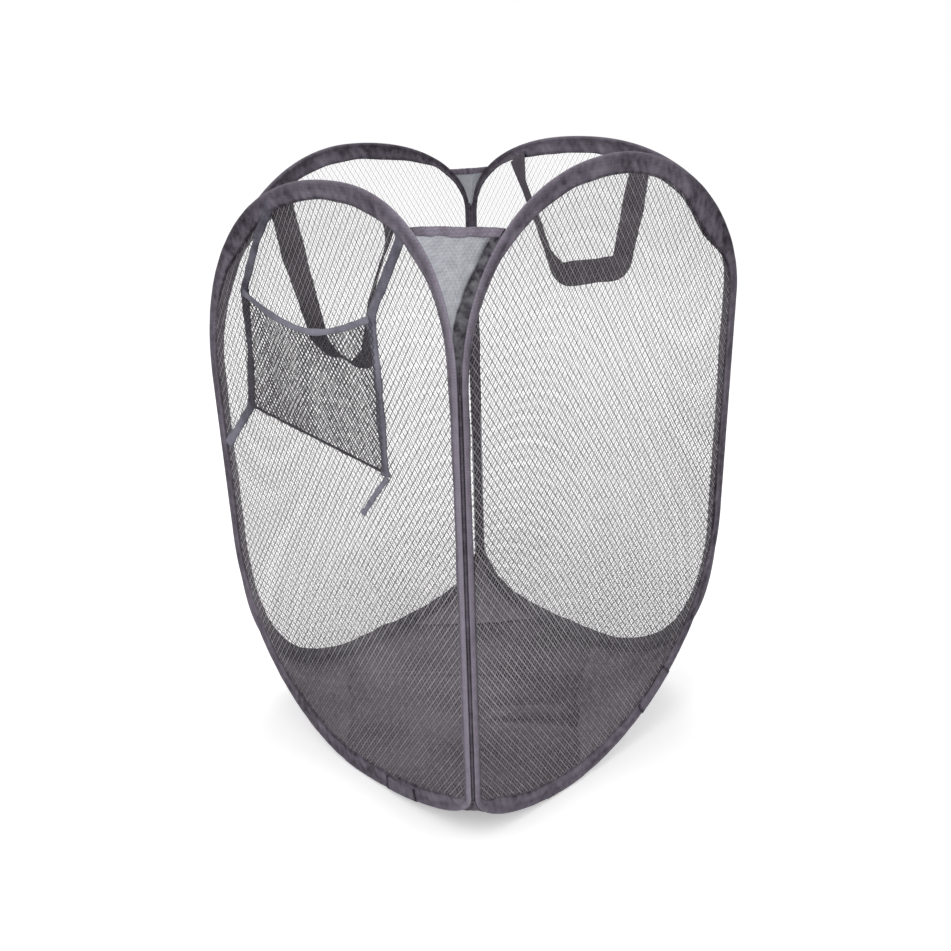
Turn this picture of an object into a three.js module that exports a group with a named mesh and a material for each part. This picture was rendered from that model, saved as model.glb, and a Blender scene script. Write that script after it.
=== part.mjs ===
// Pop-up laundry hamper: four hooped mesh panels sewn round a cloth base, open at the top.
// Millimetres. +Z is up, the floor is z = 0, and the origin is the middle of the base.
// Panels: front faces -Y, right faces +X, back faces +Y, left faces -X.
import * as THREE from 'three';

// Driving dimensions of the open hamper
const width = 350; // from the middle of one panel to the middle of the facing one
const height = 566; // from the floor to the crown of the highest hoop

// Heights at which neighbouring hoops start and stop being sewn together, as shares of the height
const topJoinShares = { front_right: 0.73, back_right: 0.767, back_left: 0.849, front_left: 0.639 };
const footJoinShares = { front_right: 0.09, back_right: 0.382, back_left: 0.121, front_left: 0.349 };

// Shape of the hoops: the height of each crown as a share of the height, and how far crown and foot
// lie from the middle of a panel, as shares of the width
const crownHeightShares = { front: 0.981, right: 1, back: 0.9915, left: 0.993 };
const crownShiftShares = { front: 0.1, right: 0, back: 0.026, left: 0.027 };
const footShiftShares = { front: 0.03, right: 0.15, back: 0.07, left: -0.02 };

// Powers of the curves at both ends of a panel: 2 is an ellipse, more is squarer
const crownPowers = {
  front: { a: 2.35, b: 2.15 },
  right: { a: 2.15, b: 1.85 },
  back: { a: 2.2, b: 2.2 },
  left: { a: 2.05, b: 2.05 },
};
const footPowers = { front: 1.9, right: 1.9, back: 2.7, left: 2.9 };
const crownSteps = 9; // straight steps in a quarter of the crown
const footSteps = 7;
const stationSpace = 0.06; // smallest angle between two stations of a quarter
const rowSpace = 0.001; // angles that lie closer than this are the same station

// Spring steel wire and the ferrule that joins its two ends
const wireRadius = 0.9;
const wireSides = 6;
const wireEndGap = 4;
const ferruleLength = 22;
const ferruleBore = 1.35;
const ferruleWall = 0.4;
const ferruleSides = 8;

// Sleeve: cloth tape folded round the wire, with two flaps that hold the edge of the net
const sleeveWidth = 13;
const clothThickness = 0.6;
const sleeveBore = 1.5;
const sleeveRound = sleeveBore + clothThickness;
const flapGap = 0.65; // half of the slot between the flaps
const arcSteps = 4;
const sleeveEndGap = ferruleLength + 2;

// Lap: the end of the sleeve tape, turned over the joint of the sleeve
const lapLength = 42;
const lapThickness = 0.55;
const lapPlaceShare = 0.225; // of the width, from the middle of the panel

// Clearances between pieces that touch
const fit = 0.3;
const pivotGap = 0.8; // from the line where two panels fold to the inner face of a sleeve
const seamRadius = 1.5;
const seamSides = 8;
const endGap = 0.3;

// Net: a knitted sheet with diamond gaps
const netThickness = 0.7;
const netInset = 6; // from the rim of the sleeve to the edge of the net
const netMargin = 5; // of plain net beside the sleeve
const gapPitchAcross = 62;
const gapPitchUp = 74;
const gapShare = 0.84; // of the pitch that the gap takes
const gapStart = 40; // height of the lowest row of gaps

// Gussets: cloth that closes the gap between two hoops
const gussetThickness = 0.8;
const gussetTopShare = 0.921; // of the height
const gussetTipWidth = 1.5; // from the corner to the hoop where the gusset tapers out
const topSagShare = 0.1; // of the width of the gusset
const topFoldShare = 0.035;
const footSagShare = 0.04;
const footGap = 0.55; // between a hoop and its foot gusset
const foldWaves = 3; // half waves of the slack folds across the gusset
const gussetColumns = 6;
const bindingDepth = 6;
const bindingLip = 1.4; // of the binding above the edge of the gusset
const bindingTrim = 3.4; // from the end of the gusset to the end of the binding
const bindingWall = 0.5;

// Base cloth, which lies on the floor under the hoops
const baseThickness = 0.9;
const baseHem = 1.2; // outside the middle of a panel
const baseLap = 3; // under a foot gusset
const footSeamRise = 1.4; // of the hoop above the floor, where base and foot gusset meet

// Carrying handles: a folded strap that hangs inside from the crown of a hoop. Its two tops lie
// along the panel from the crown as shares of the span, its two bottom corners as shares of the
// span and of the drop.
const handleSpan = 150;
const handleDrop = 110;
const handleTopShares = { front: [-0.505, 0.425], back: [-0.47, 0.6] };
const handleFootShares = { front: [[-0.205, 0.95], [0.205, 1.06]], back: [[-0.34, 0.9], [0.18, 1.04]] };
const strapWidth = 22;
const strapThickness = 1.6;
const strapChamfer = 9;
const handleCover = 6; // how far the sleeve hides the top of the strap

// Mesh pocket on the outside of the front panel. Places along the panel are shares of the width
// from its middle, and heights are shares of the height.
const pocketTopShares = { left: -0.269, right: 0.249 };
const pocketFootShares = { left: -0.303, right: 0.26 };
const pocketBottomShares = { left: 0.622, right: 0.587 };
const mouthShare = 0.811;
const tapeTopShares = { left: -0.125, right: 0.354 };
const tapeTailShare = 0.535;
const pocketStand = 5.6; // clear depth between the net of the panel and the net of the pocket
const mouthSag = 22;
const tapeWidth = 7;
const tapeSlotDepth = 3;
const tapeTopSeats = { left: 4, right: 1.2 }; // from the sleeve to the middle of the end of a tape
const tapeTailSeat = 5.2;
const hemWidth = 6;
const tailRun = 36;
const tailFall = 42;
const tailWidth = 5;
const tailThickness = 1.2;
const pocketPitchAcross = 30;
const pocketPitchUp = 34;
const pocketNetMargin = 5;
const mouthSteps = 8;

// Sizes that follow from the ones above
const panelPlane = width / 2;
const flapHalf = flapGap + clothThickness;
const footLift = baseThickness + fit;
const pivotHalf = panelPlane - sleeveRound - pivotGap;
const reach = pivotHalf - endGap; // of the rim of a hoop from the middle of its panel
const rightAngle = Math.PI / 2;

const finishes = {
  sleeve: { color: 0x6b6470, roughness: 0.75, metalness: 0 },
  net: { color: 0x8f8c92, roughness: 0.8, metalness: 0 },
  gusset: { color: 0xa2a4ac, roughness: 0.8, metalness: 0 },
  base: { color: 0x584f5a, roughness: 0.85, metalness: 0 },
  strap: { color: 0x4a454b, roughness: 0.85, metalness: 0 },
  tape: { color: 0x6e6e7a, roughness: 0.75, metalness: 0 },
  steel: { color: 0xb4b6ba, roughness: 0.35, metalness: 1 },
};

// End a of a panel is at the front right or back left corner, end b at one of the other two.
// side is +1 where end a is on the +x side of the panel's own frame, and turn is about +Z.
const panels = {
  front: { turn: 0, side: 1, a: 'front_right', b: 'front_left' },
  right: { turn: rightAngle, side: -1, a: 'front_right', b: 'back_right' },
  back: { turn: 2 * rightAngle, side: 1, a: 'back_left', b: 'back_right' },
  left: { turn: 3 * rightAngle, side: -1, a: 'back_left', b: 'front_left' },
};
for (const [name, panel] of Object.entries(panels)) panel.name = name;

const corners = {
  front_right: { first: panels.front, second: panels.right, end: 'a' },
  back_right: { first: panels.right, second: panels.back, end: 'b' },
  back_left: { first: panels.back, second: panels.left, end: 'a' },
  front_left: { first: panels.left, second: panels.front, end: 'b' },
};

const object = new THREE.Group();

function addPiece(name, geometry, finish, parent = object) {
  const mesh = new THREE.Mesh(geometry, new THREE.MeshStandardMaterial(finishes[finish]));
  mesh.name = name;
  parent.add(mesh);
  return mesh;
}

// Outline of a hoop

const quarters = [
  { end: 'a', level: 'foot', rises: false },
  { end: 'a', level: 'top', rises: true },
  { end: 'b', level: 'top', rises: false },
  { end: 'b', level: 'foot', rises: true },
];

function spread(from, to, steps) {
  const values = [];
  for (let i = 0; i <= steps; i += 1) values.push(from + ((to - from) * i) / steps);
  return values;
}

// A quarter runs from the height where two hoops join (angle 0) to the crown or foot (a right angle).
function quarterSizes(panel, end, level) {
  const sign = end === 'a' ? 1 : -1;
  const isTop = level === 'top';
  const shift = width * (isTop ? crownShiftShares : footShiftShares)[panel.name];
  const joins = isTop ? topJoinShares : footJoinShares;
  const joinHeight = height * joins[panel[end]];
  return {
    sign,
    shift,
    half: reach - sign * shift,
    joinHeight,
    rise: (isTop ? height * crownHeightShares[panel.name] : footLift) - joinHeight,
    power: isTop ? crownPowers[panel.name][end] : footPowers[panel.name],
  };
}

// Point of the rim in the panel's own frame (x along the panel, y inwards, z up), moved outwards
// by outset within the plane of the panel.
function rimPoint(panel, end, level, angle, outset) {
  const { sign, shift, half, joinHeight, rise, power } = quarterSizes(panel, end, level);
  const across = Math.max(Math.cos(angle), 0);
  const up = Math.max(Math.sin(angle), 0);
  const normal = new THREE.Vector2(
    (sign * across ** (2 - 2 / power)) / half,
    (Math.sign(rise) * up ** (2 - 2 / power)) / Math.abs(rise),
  ).normalize();
  const x = shift + sign * half * across ** (2 / power) + normal.x * outset;
  const z = joinHeight + rise * up ** (2 / power) + normal.y * outset;
  return new THREE.Vector3(panel.side * x, 0, z);
}

function angleAtHeight(panel, end, level, z) {
  const { joinHeight, rise, power } = quarterSizes(panel, end, level);
  return Math.asin(((z - joinHeight) / rise) ** (power / 2));
}

function angleAtReach(panel, end, level, x) {
  const { sign, shift, half, power } = quarterSizes(panel, end, level);
  return Math.acos(((sign * (x - shift)) / half) ** (power / 2));
}

// Stations are the places where every piece that follows a hoop has a corner of its outline.

// The joint of every hoop lies at its foot, on the +x side of its own panel.
function lapEnd(panel) {
  return panel.side > 0 ? 'a' : 'b';
}

function lapAngles(panel) {
  const middle = panel.side * width * lapPlaceShare;
  const offsets = [-lapLength, -sleeveEndGap, sleeveEndGap, lapLength].map((span) => span / 2);
  return offsets.map((offset) => angleAtReach(panel, lapEnd(panel), 'foot', middle + offset));
}

function stationAngles(panel, end, level) {
  const isTop = level === 'top';
  const angles = spread(0, rightAngle, isTop ? crownSteps : footSteps);
  if (isTop || end !== lapEnd(panel)) return angles;
  const joint = lapAngles(panel);
  const low = Math.min(...joint) - stationSpace;
  const high = Math.max(...joint) + stationSpace;
  const others = angles.filter((angle) => angle < low || angle > high);
  return [...others, ...joint].sort((p, q) => p - q);
}

// A place on the straight line between two stations
function chordPoint(panel, end, level, angle, outset) {
  const angles = stationAngles(panel, end, level);
  const next = Math.max(1, angles.findIndex((station) => station >= angle));
  const share = (angle - angles[next - 1]) / (angles[next] - angles[next - 1]);
  const from = rimPoint(panel, end, level, angles[next - 1], outset);
  return from.lerp(rimPoint(panel, end, level, angles[next], outset), share);
}

// Once round the hoop, up end a, over the crown and down end b
function loopPoints(panel, inset) {
  const points = [];
  for (const { end, level, rises } of quarters) {
    const angles = stationAngles(panel, end, level);
    if (!rises) angles.reverse();
    angles.pop();
    for (const angle of angles) points.push(rimPoint(panel, end, level, angle, -inset));
  }
  return points;
}

function lapPath(panel, inset) {
  const points = lapAngles(panel).map((angle) => rimPoint(panel, lapEnd(panel), 'foot', angle, -inset));
  return panel.side > 0 ? points : points.reverse();
}

// Once round the hoop, from one side of a gap at its joint to the other
function openPath(panel, inset, gap) {
  const points = loopPoints(panel, inset);
  if (panel.side < 0) points.reverse();
  const joint = lapPath(panel, inset);
  const [before, after] = [joint[1], joint[2]];
  const start = points.findIndex((point) => point.distanceTo(after) < fit);
  const path = [...points.slice(start), ...points.slice(0, start)];
  if (gap === sleeveEndGap) return path;
  const share = (1 - gap / sleeveEndGap) / 2;
  path.unshift(after.clone().lerp(before, share));
  path.push(before.clone().lerp(after, share));
  return path;
}

// Helpers for solids

function indexed(points, faces) {
  const geometry = new THREE.BufferGeometry();
  const positions = points.flatMap((p) => [p.x, p.y, p.z]);
  geometry.setAttribute('position', new THREE.Float32BufferAttribute(positions, 3));
  geometry.setIndex(faces);
  return geometry;
}

// A path through given points, with one ring of the swept section at each of them
class PointPath extends THREE.Curve {
  constructor(points) {
    super();
    this.points = points;
  }

  getPoint(t, target = new THREE.Vector3()) {
    const place = t * (this.points.length - 1);
    const index = Math.min(Math.floor(place), this.points.length - 2);
    return target.lerpVectors(this.points[index], this.points[index + 1], place - index);
  }

  getUtoTmapping(u) {
    return u;
  }
}

function sweep(section, points) {
  const steps = points.length - 1;
  return new THREE.ExtrudeGeometry(section, { steps, extrudePath: new PointPath(points) });
}

// A closed solid through rings of points. The section is the outline that the rings follow, drawn
// counterclockwise as seen against the way from the first ring to the last.
function loft(section, rings) {
  const sides = section.length;
  const faces = [];
  for (let i = 0; i < rings.length - 1; i += 1) {
    for (let j = 0; j < sides; j += 1) {
      const [a, b] = [i * sides + j, i * sides + ((j + 1) % sides)];
      faces.push(a, b, b + sides, a, b + sides, a + sides);
    }
  }
  const end = (rings.length - 1) * sides;
  for (const [a, b, c] of THREE.ShapeUtils.triangulateShape(section, [])) {
    faces.push(c, b, a, end + a, end + b, end + c);
  }
  return indexed(rings.flat(), faces);
}

// A flat plate drawn in the plane of a panel, with its middle on that plane
function panelPlate(shape, thickness) {
  const geometry = new THREE.ExtrudeGeometry(shape, { depth: thickness, bevelEnabled: false });
  geometry.rotateX(rightAngle);
  geometry.translate(0, thickness / 2, 0);
  return geometry;
}

function polygonSection(radius, sides) {
  const angles = spread(0, 2 * Math.PI, sides).slice(1);
  return new THREE.Shape(angles.map((a) => new THREE.Vector2(radius * Math.cos(a), radius * Math.sin(a))));
}

// A straight tube along Y, centred on its own middle
function tube(bore, outer, length, sides) {
  const half = length / 2;
  const profile = [
    new THREE.Vector2(bore, -half),
    new THREE.Vector2(outer, -half),
    new THREE.Vector2(outer, half),
    new THREE.Vector2(bore, half),
    new THREE.Vector2(bore, -half),
  ];
  return new THREE.LatheGeometry(profile, sides);
}

// Way through a sheet at one point of its grid
function sheetNormal(grid, i, j) {
  const row = grid[i];
  const up = grid[Math.min(i + 1, grid.length - 1)][j].clone().sub(grid[Math.max(i - 1, 0)][j]);
  const along = row[Math.min(j + 1, row.length - 1)].clone().sub(row[Math.max(j - 1, 0)]);
  return along.cross(up).normalize();
}

// A thin closed solid on a grid of points, half its thickness to each side of them
function sheetSolid(grid, thickness) {
  const rows = grid.length;
  const columns = grid[0].length;
  const points = [];
  for (const offset of [thickness / 2, -thickness / 2]) {
    grid.forEach((row, i) => row.forEach((point, j) => {
      points.push(point.clone().addScaledVector(sheetNormal(grid, i, j), offset));
    }));
  }
  const front = (i, j) => i * columns + j;
  const back = (i, j) => (rows + i) * columns + j;
  const faces = [];
  const quad = (a, b, c, d) => faces.push(a, b, c, a, c, d);
  for (let i = 0; i < rows - 1; i += 1) {
    for (let j = 0; j < columns - 1; j += 1) {
      quad(front(i, j), front(i, j + 1), front(i + 1, j + 1), front(i + 1, j));
      quad(back(i, j), back(i + 1, j), back(i + 1, j + 1), back(i, j + 1));
    }
  }
  const edge = [];
  for (let j = 0; j < columns - 1; j += 1) edge.push([0, j]);
  for (let i = 0; i < rows - 1; i += 1) edge.push([i, columns - 1]);
  for (let j = columns - 1; j > 0; j -= 1) edge.push([rows - 1, j]);
  for (let i = rows - 1; i > 0; i -= 1) edge.push([i, 0]);
  edge.forEach(([i, j], k) => {
    const [nextI, nextJ] = edge[(k + 1) % edge.length];
    quad(front(i, j), back(i, j), back(nextI, nextJ), front(nextI, nextJ));
  });
  return indexed(points, faces);
}

// Sections that are swept round a hoop: x is through the cloth, y is out of the hoop

// Points of an arc round the middle of the wire, with angles measured from the flaps
function sectionArc(radius, from, to, steps) {
  return spread(from, to, steps).map((a) => new THREE.Vector2(radius * Math.sin(a), -radius * Math.cos(a)));
}

// The sleeve is round where it holds the wire and flat where its flaps hold the net.
function makeSleeveSection() {
  const outerStart = Math.asin(flapHalf / sleeveRound);
  const innerStart = Math.asin(flapGap / sleeveBore);
  const low = sleeveRound - sleeveWidth;
  return new THREE.Shape([
    new THREE.Vector2(flapHalf, low),
    ...sectionArc(sleeveRound, outerStart, 2 * Math.PI - outerStart, arcSteps),
    new THREE.Vector2(-flapHalf, low),
    new THREE.Vector2(-flapGap, low),
    ...sectionArc(sleeveBore, 2 * Math.PI - innerStart, innerStart, arcSteps),
    new THREE.Vector2(flapGap, low),
  ]);
}

// The lap covers the outer face of the sleeve, up to the first edge of its round part.
function makeLapSection() {
  const bore = sleeveRound + fit;
  const outer = bore + lapThickness;
  const inside = flapHalf + fit;
  const outside = inside + lapThickness;
  const low = sleeveRound - sleeveWidth - lapThickness;
  const sleeveStart = Math.asin(flapHalf / sleeveRound);
  const end = sleeveStart + (2 * (Math.PI - sleeveStart)) / arcSteps;
  return new THREE.Shape([
    new THREE.Vector2(outside, low),
    ...sectionArc(outer, Math.asin(outside / outer), end, 1),
    ...sectionArc(bore, end, Math.asin(inside / bore), 1),
    new THREE.Vector2(inside, low),
  ]);
}

// Pieces of a panel

function insideOutline(outline, x, z) {
  let inside = false;
  outline.forEach((p, i) => {
    const q = outline[(i + outline.length - 1) % outline.length];
    const crosses = p.z > z !== q.z > z;
    if (crosses && x < ((q.x - p.x) * (z - p.z)) / (q.z - p.z) + p.x) inside = !inside;
  });
  return inside;
}

// Cuts rows of diamond gaps, every second row shifted by half a pitch, wherever accept allows
function cutDiamonds(shape, area, pitchAcross, pitchUp, accept) {
  const halfAcross = (pitchAcross / 2) * gapShare;
  const halfUp = (pitchUp / 2) * gapShare;
  let row = 0;
  for (let z = area.low; z < area.high; z += pitchUp / 2) {
    const offset = row % 2 ? pitchAcross / 2 : 0;
    for (let x = area.left + offset; x < area.right; x += pitchAcross) {
      const tips = [[x, z - halfUp], [x + halfAcross, z], [x, z + halfUp], [x - halfAcross, z]];
      if (tips.every(([tipX, tipZ]) => accept(tipX, tipZ))) {
        shape.holes.push(new THREE.Path(tips.map(([tipX, tipZ]) => new THREE.Vector2(tipX, tipZ))));
      }
    }
    row += 1;
  }
}

function netGeometry(panel) {
  const edge = loopPoints(panel, netInset);
  const clear = loopPoints(panel, sleeveWidth + netMargin);
  const shape = new THREE.Shape(edge.map((p) => new THREE.Vector2(p.x, p.z)));
  const across = Math.ceil(reach / gapPitchAcross) * gapPitchAcross;
  const area = { left: -across, right: across, low: gapStart, high: height };
  cutDiamonds(shape, area, gapPitchAcross, gapPitchUp, (x, z) => insideOutline(clear, x, z));
  return panelPlate(shape, netThickness);
}

function addFerrule(panel, group) {
  const outer = ferruleBore + ferruleWall;
  const geometry = tube(ferruleBore, outer, ferruleLength, ferruleSides);
  const ferrule = addPiece(`${panel.name}_hoop_ferrule`, geometry, 'steel', group);
  const [, from, to] = lapPath(panel, sleeveRound);
  ferrule.position.copy(from).lerp(to, 1 / 2);
  ferrule.quaternion.setFromUnitVectors(new THREE.Vector3(0, 1, 0), to.sub(from).normalize());
}

function addPanel(panel) {
  const { name } = panel;
  const group = new THREE.Group();
  group.rotation.z = panel.turn;
  group.position.set(0, -panelPlane, 0).applyAxisAngle(new THREE.Vector3(0, 0, 1), panel.turn);
  object.add(group);
  const wirePath = openPath(panel, sleeveRound, wireEndGap);
  addPiece(`${name}_hoop_wire`, sweep(polygonSection(wireRadius, wireSides), wirePath), 'steel', group);
  addFerrule(panel, group);
  const sleevePath = openPath(panel, sleeveRound, sleeveEndGap);
  addPiece(`${name}_hoop_sleeve`, sweep(makeSleeveSection(), sleevePath), 'sleeve', group);
  const lap = sweep(makeLapSection(), lapPath(panel, sleeveRound));
  addPiece(`${name}_sleeve_lap`, lap, 'sleeve', group);
  addPiece(`${name}_net`, netGeometry(panel), 'net', group);
  return group;
}

// Pieces of a corner

function toWorld(panel, point) {
  const world = new THREE.Vector3(point.x, point.y - panelPlane, point.z);
  return world.applyAxisAngle(new THREE.Vector3(0, 0, 1), panel.turn);
}

// Row of cloth across a corner at one angle of the two hoops, sagging towards the middle
function cornerRow(corner, level, angle, sagShare, foldShare) {
  const outset = (level === 'top' ? fit : footGap) + gussetThickness / 2;
  const ends = [corner.first, corner.second].map((panel) => {
    return toWorld(panel, chordPoint(panel, corner.end, level, angle, outset));
  });
  const [from, to] = ends;
  const span = from.distanceTo(to);
  const inwards = new THREE.Vector3(-from.x - to.x, -from.y - to.y, 0).normalize();
  return spread(0, 1, gussetColumns).map((share) => {
    const fold = foldShare * Math.sin(foldWaves * Math.PI * share);
    const sag = sagShare * Math.sin(Math.PI * share) + fold;
    return from.clone().lerp(to, share).addScaledVector(inwards, sag * span);
  });
}

// Rows at all stations of the two hoops between two angles
function cornerGrid(corner, level, from, to, sagShare, foldShare) {
  const stations = [corner.first, corner.second].flatMap((panel) => stationAngles(panel, corner.end, level));
  const between = stations.filter((angle) => angle > from + rowSpace && angle < to - rowSpace);
  const angles = [from, ...between.sort((p, q) => p - q), to];
  const rows = angles.filter((angle, i) => i === 0 || angle - angles[i - 1] > rowSpace);
  return rows.map((angle) => cornerRow(corner, level, angle, sagShare, foldShare));
}

function tipAngle(corner, level) {
  const sign = corner.end === 'a' ? 1 : -1;
  return angleAtReach(corner.first, corner.end, level, sign * (reach - gussetTipWidth));
}

// A strip folded over the top edge of a gusset, open below. Its x is down, its y through the cloth.
function gussetBindingSection() {
  const slot = gussetThickness / 2 + fit;
  const outer = slot + bindingWall;
  const low = bindingDepth - bindingLip;
  return [
    new THREE.Vector2(-bindingLip, -outer),
    new THREE.Vector2(low, -outer),
    new THREE.Vector2(low, -slot),
    new THREE.Vector2(-fit, -slot),
    new THREE.Vector2(-fit, slot),
    new THREE.Vector2(low, slot),
    new THREE.Vector2(low, outer),
    new THREE.Vector2(-bindingLip, outer),
  ];
}

// The binding follows the top row of the gusset and stops short of the hoops.
function gussetBindingRings(grid) {
  const top = grid.length - 1;
  const last = grid[top].length - 1;
  return grid[top].map((point, j) => {
    const down = grid[top - 1][j].clone().sub(point).normalize();
    const outwards = sheetNormal(grid, top, j);
    const middle = point.clone();
    if (j === 0) middle.add(grid[top][1].clone().sub(point).setLength(bindingTrim));
    if (j === last) middle.add(grid[top][last - 1].clone().sub(point).setLength(bindingTrim));
    return gussetBindingSection().map(({ x, y }) => {
      return middle.clone().addScaledVector(down, x).addScaledVector(outwards, -y);
    });
  });
}

function addTopGusset(name, corner) {
  const { first, end } = corner;
  const topAngle = angleAtHeight(first, end, 'top', height * gussetTopShare);
  const grid = cornerGrid(corner, 'top', tipAngle(corner, 'top'), topAngle, topSagShare, topFoldShare);
  addPiece(`${name}_top_gusset`, sheetSolid(grid, gussetThickness), 'gusset');
  addPiece(`${name}_gusset_binding`, loft(gussetBindingSection(), gussetBindingRings(grid)), 'sleeve');
}

function footSeamAngle(panel, end) {
  return angleAtHeight(panel, end, 'foot', footLift + footSeamRise);
}

function addFootGusset(name, corner) {
  const floorAngle = footSeamAngle(corner.first, corner.end);
  const grid = cornerGrid(corner, 'foot', tipAngle(corner, 'foot'), floorAngle, footSagShare, 0);
  addPiece(`${name}_foot_gusset`, sheetSolid(grid.reverse(), gussetThickness), 'base');
}

function addSeam(name, corner) {
  const bottom = height * footJoinShares[name];
  const length = height * topJoinShares[name] - bottom;
  const seam = addPiece(
    `${name}_seam`,
    new THREE.CylinderGeometry(seamRadius, seamRadius, length, seamSides),
    'sleeve',
  );
  const outer = toWorld(corner.first, rimPoint(corner.first, corner.end, 'foot', 0, 0));
  seam.rotation.x = rightAngle;
  seam.position.set(Math.sign(outer.x) * pivotHalf, Math.sign(outer.y) * pivotHalf, bottom + length / 2);
}

function addBase() {
  const plan = [];
  for (const panel of Object.values(panels)) {
    const ends = panel.side > 0 ? ['b', 'a'] : ['a', 'b'];
    for (const end of ends) {
      const rim = rimPoint(panel, end, 'foot', footSeamAngle(panel, end), 0);
      const along = end === ends[1] ? baseLap : -baseLap;
      const place = toWorld(panel, new THREE.Vector3(rim.x + along, -baseHem, 0));
      plan.push(new THREE.Vector2(place.x, place.y));
    }
  }
  const options = { depth: baseThickness, bevelEnabled: false };
  addPiece('base_cloth', new THREE.ExtrudeGeometry(new THREE.Shape(plan), options), 'base');
}

// Handles

function crownX(panel) {
  return panel.side * width * crownShiftShares[panel.name];
}

// Height of the rim over a place along the panel
function rimHeight(panel, x) {
  const end = panel.side * x >= panel.side * crownX(panel) ? 'a' : 'b';
  return rimPoint(panel, end, 'top', angleAtReach(panel, end, 'top', panel.side * x), 0).z;
}

function handleTop(panel) {
  const halves = [-strapWidth / 2, strapWidth / 2];
  const offsets = handleTopShares[panel.name].map((share, i) => share * handleSpan + halves[i]);
  const heights = offsets.map((offset) => rimHeight(panel, crownX(panel) + offset));
  return Math.min(...heights) - sleeveWidth + handleCover;
}

// Point of the left edge of a strap that turns at a corner of its middle line, or of its right edge
// where half is negative
function strapCorner(before, at, after, half) {
  const normals = [at.clone().sub(before), after.clone().sub(at)].map((way) => {
    return way.normalize().rotateAround(new THREE.Vector2(), rightAngle);
  });
  const [first, second] = normals;
  return at.clone().addScaledVector(first.clone().add(second), half / (1 + first.dot(second)));
}

// Point where an edge of a strap leg ends at the sleeve
function strapEnd(top, foot, half) {
  const slant = Math.hypot(top.x - foot.x, top.y - foot.y) / (top.y - foot.y);
  return new THREE.Vector2(top.x + half * slant, top.y);
}

// The strap goes down, folds across and comes back up. The folds leave cut corners.
function handleShape(name) {
  const [left, right] = handleTopShares[name].map((share) => new THREE.Vector2(share * handleSpan, 0));
  const [leftFoot, rightFoot] = handleFootShares[name].map(([across, down]) => {
    return new THREE.Vector2(across * handleSpan, -down * handleDrop);
  });
  const half = strapWidth / 2;
  const lowLeft = strapCorner(left, leftFoot, rightFoot, -half);
  const lowRight = strapCorner(leftFoot, rightFoot, right, -half);
  const outerLeft = strapEnd(left, leftFoot, -half);
  const outerRight = strapEnd(right, rightFoot, half);
  const towards = (from, to) => from.clone().add(to.clone().sub(from).setLength(strapChamfer));
  return new THREE.Shape([
    outerLeft,
    towards(lowLeft, outerLeft),
    towards(lowLeft, lowRight),
    towards(lowRight, lowLeft),
    towards(lowRight, outerRight),
    outerRight,
    strapEnd(right, rightFoot, -half),
    strapCorner(leftFoot, rightFoot, right, half),
    strapCorner(left, leftFoot, rightFoot, half),
    strapEnd(left, leftFoot, half),
  ]);
}

function addHandle(panel, group) {
  const geometry = panelPlate(handleShape(panel.name), strapThickness);
  const handle = addPiece(`${panel.name}_handle`, geometry, 'strap', group);
  handle.position.set(crownX(panel), flapHalf + fit + strapThickness / 2, handleTop(panel));
}

// Pocket, in the frame of the front panel, where -y is outwards

const pocketNetY = -(netThickness / 2 + pocketStand + netThickness / 2);
const tapeBack = -(netThickness / 2 + fit);
const tapeFront = pocketNetY - netThickness / 2 - fit - clothThickness;
const pocketLeft = width * pocketTopShares.left;
const pocketRight = width * pocketTopShares.right;
const pocketLeftFoot = width * pocketFootShares.left;
const pocketRightFoot = width * pocketFootShares.right;
const pocketLeftBottom = height * pocketBottomShares.left;
const pocketRightBottom = height * pocketBottomShares.right;
const mouthHeight = height * mouthShare;

function mouthZ(x) {
  const share = (x - pocketLeft) / (pocketRight - pocketLeft);
  return mouthHeight - mouthSag * Math.sin(Math.PI * share);
}

function mouthPath(from, to) {
  return spread(from, to, mouthSteps).map((x) => new THREE.Vector3(x, pocketNetY, mouthZ(x)));
}

function pocketEdgeX(z, isLeft) {
  const [topX, footX, footZ] = isLeft
    ? [pocketLeft, pocketLeftFoot, pocketLeftBottom]
    : [pocketRight, pocketRightFoot, pocketRightBottom];
  return topX + ((footX - topX) * (mouthHeight - z)) / (mouthHeight - footZ);
}

function pocketBottomZ(x) {
  const share = (x - pocketLeftFoot) / (pocketRightFoot - pocketLeftFoot);
  return pocketLeftBottom + (pocketRightBottom - pocketLeftBottom) * share;
}

function addPocketNet(group) {
  const inset = tapeWidth - tapeSlotDepth + 2 * fit;
  const left = pocketLeft + inset;
  const right = pocketRight - inset;
  const top = mouthPath(right, left).map((p) => new THREE.Vector2(p.x, p.z - fit));
  const footLeft = pocketLeftFoot + inset;
  const footRight = pocketRightFoot - inset;
  const foot = [footLeft, footRight].map((x) => new THREE.Vector2(x, pocketBottomZ(x) + hemWidth / 2));
  const shape = new THREE.Shape([...top, ...foot]);
  const margin = tapeWidth + pocketNetMargin;
  const accept = (x, z) => x > pocketEdgeX(z, true) + margin
    && x < pocketEdgeX(z, false) - margin
    && z < mouthZ(x) - hemWidth - pocketNetMargin
    && z > pocketBottomZ(x) + hemWidth + pocketNetMargin;
  const area = { left: pocketLeftFoot, right: pocketRight, low: pocketRightBottom, high: mouthHeight };
  cutDiamonds(shape, area, pocketPitchAcross, pocketPitchUp, accept);
  const net = addPiece('pocket_net', panelPlate(shape, netThickness), 'net', group);
  net.position.y = pocketNetY;
}

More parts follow.
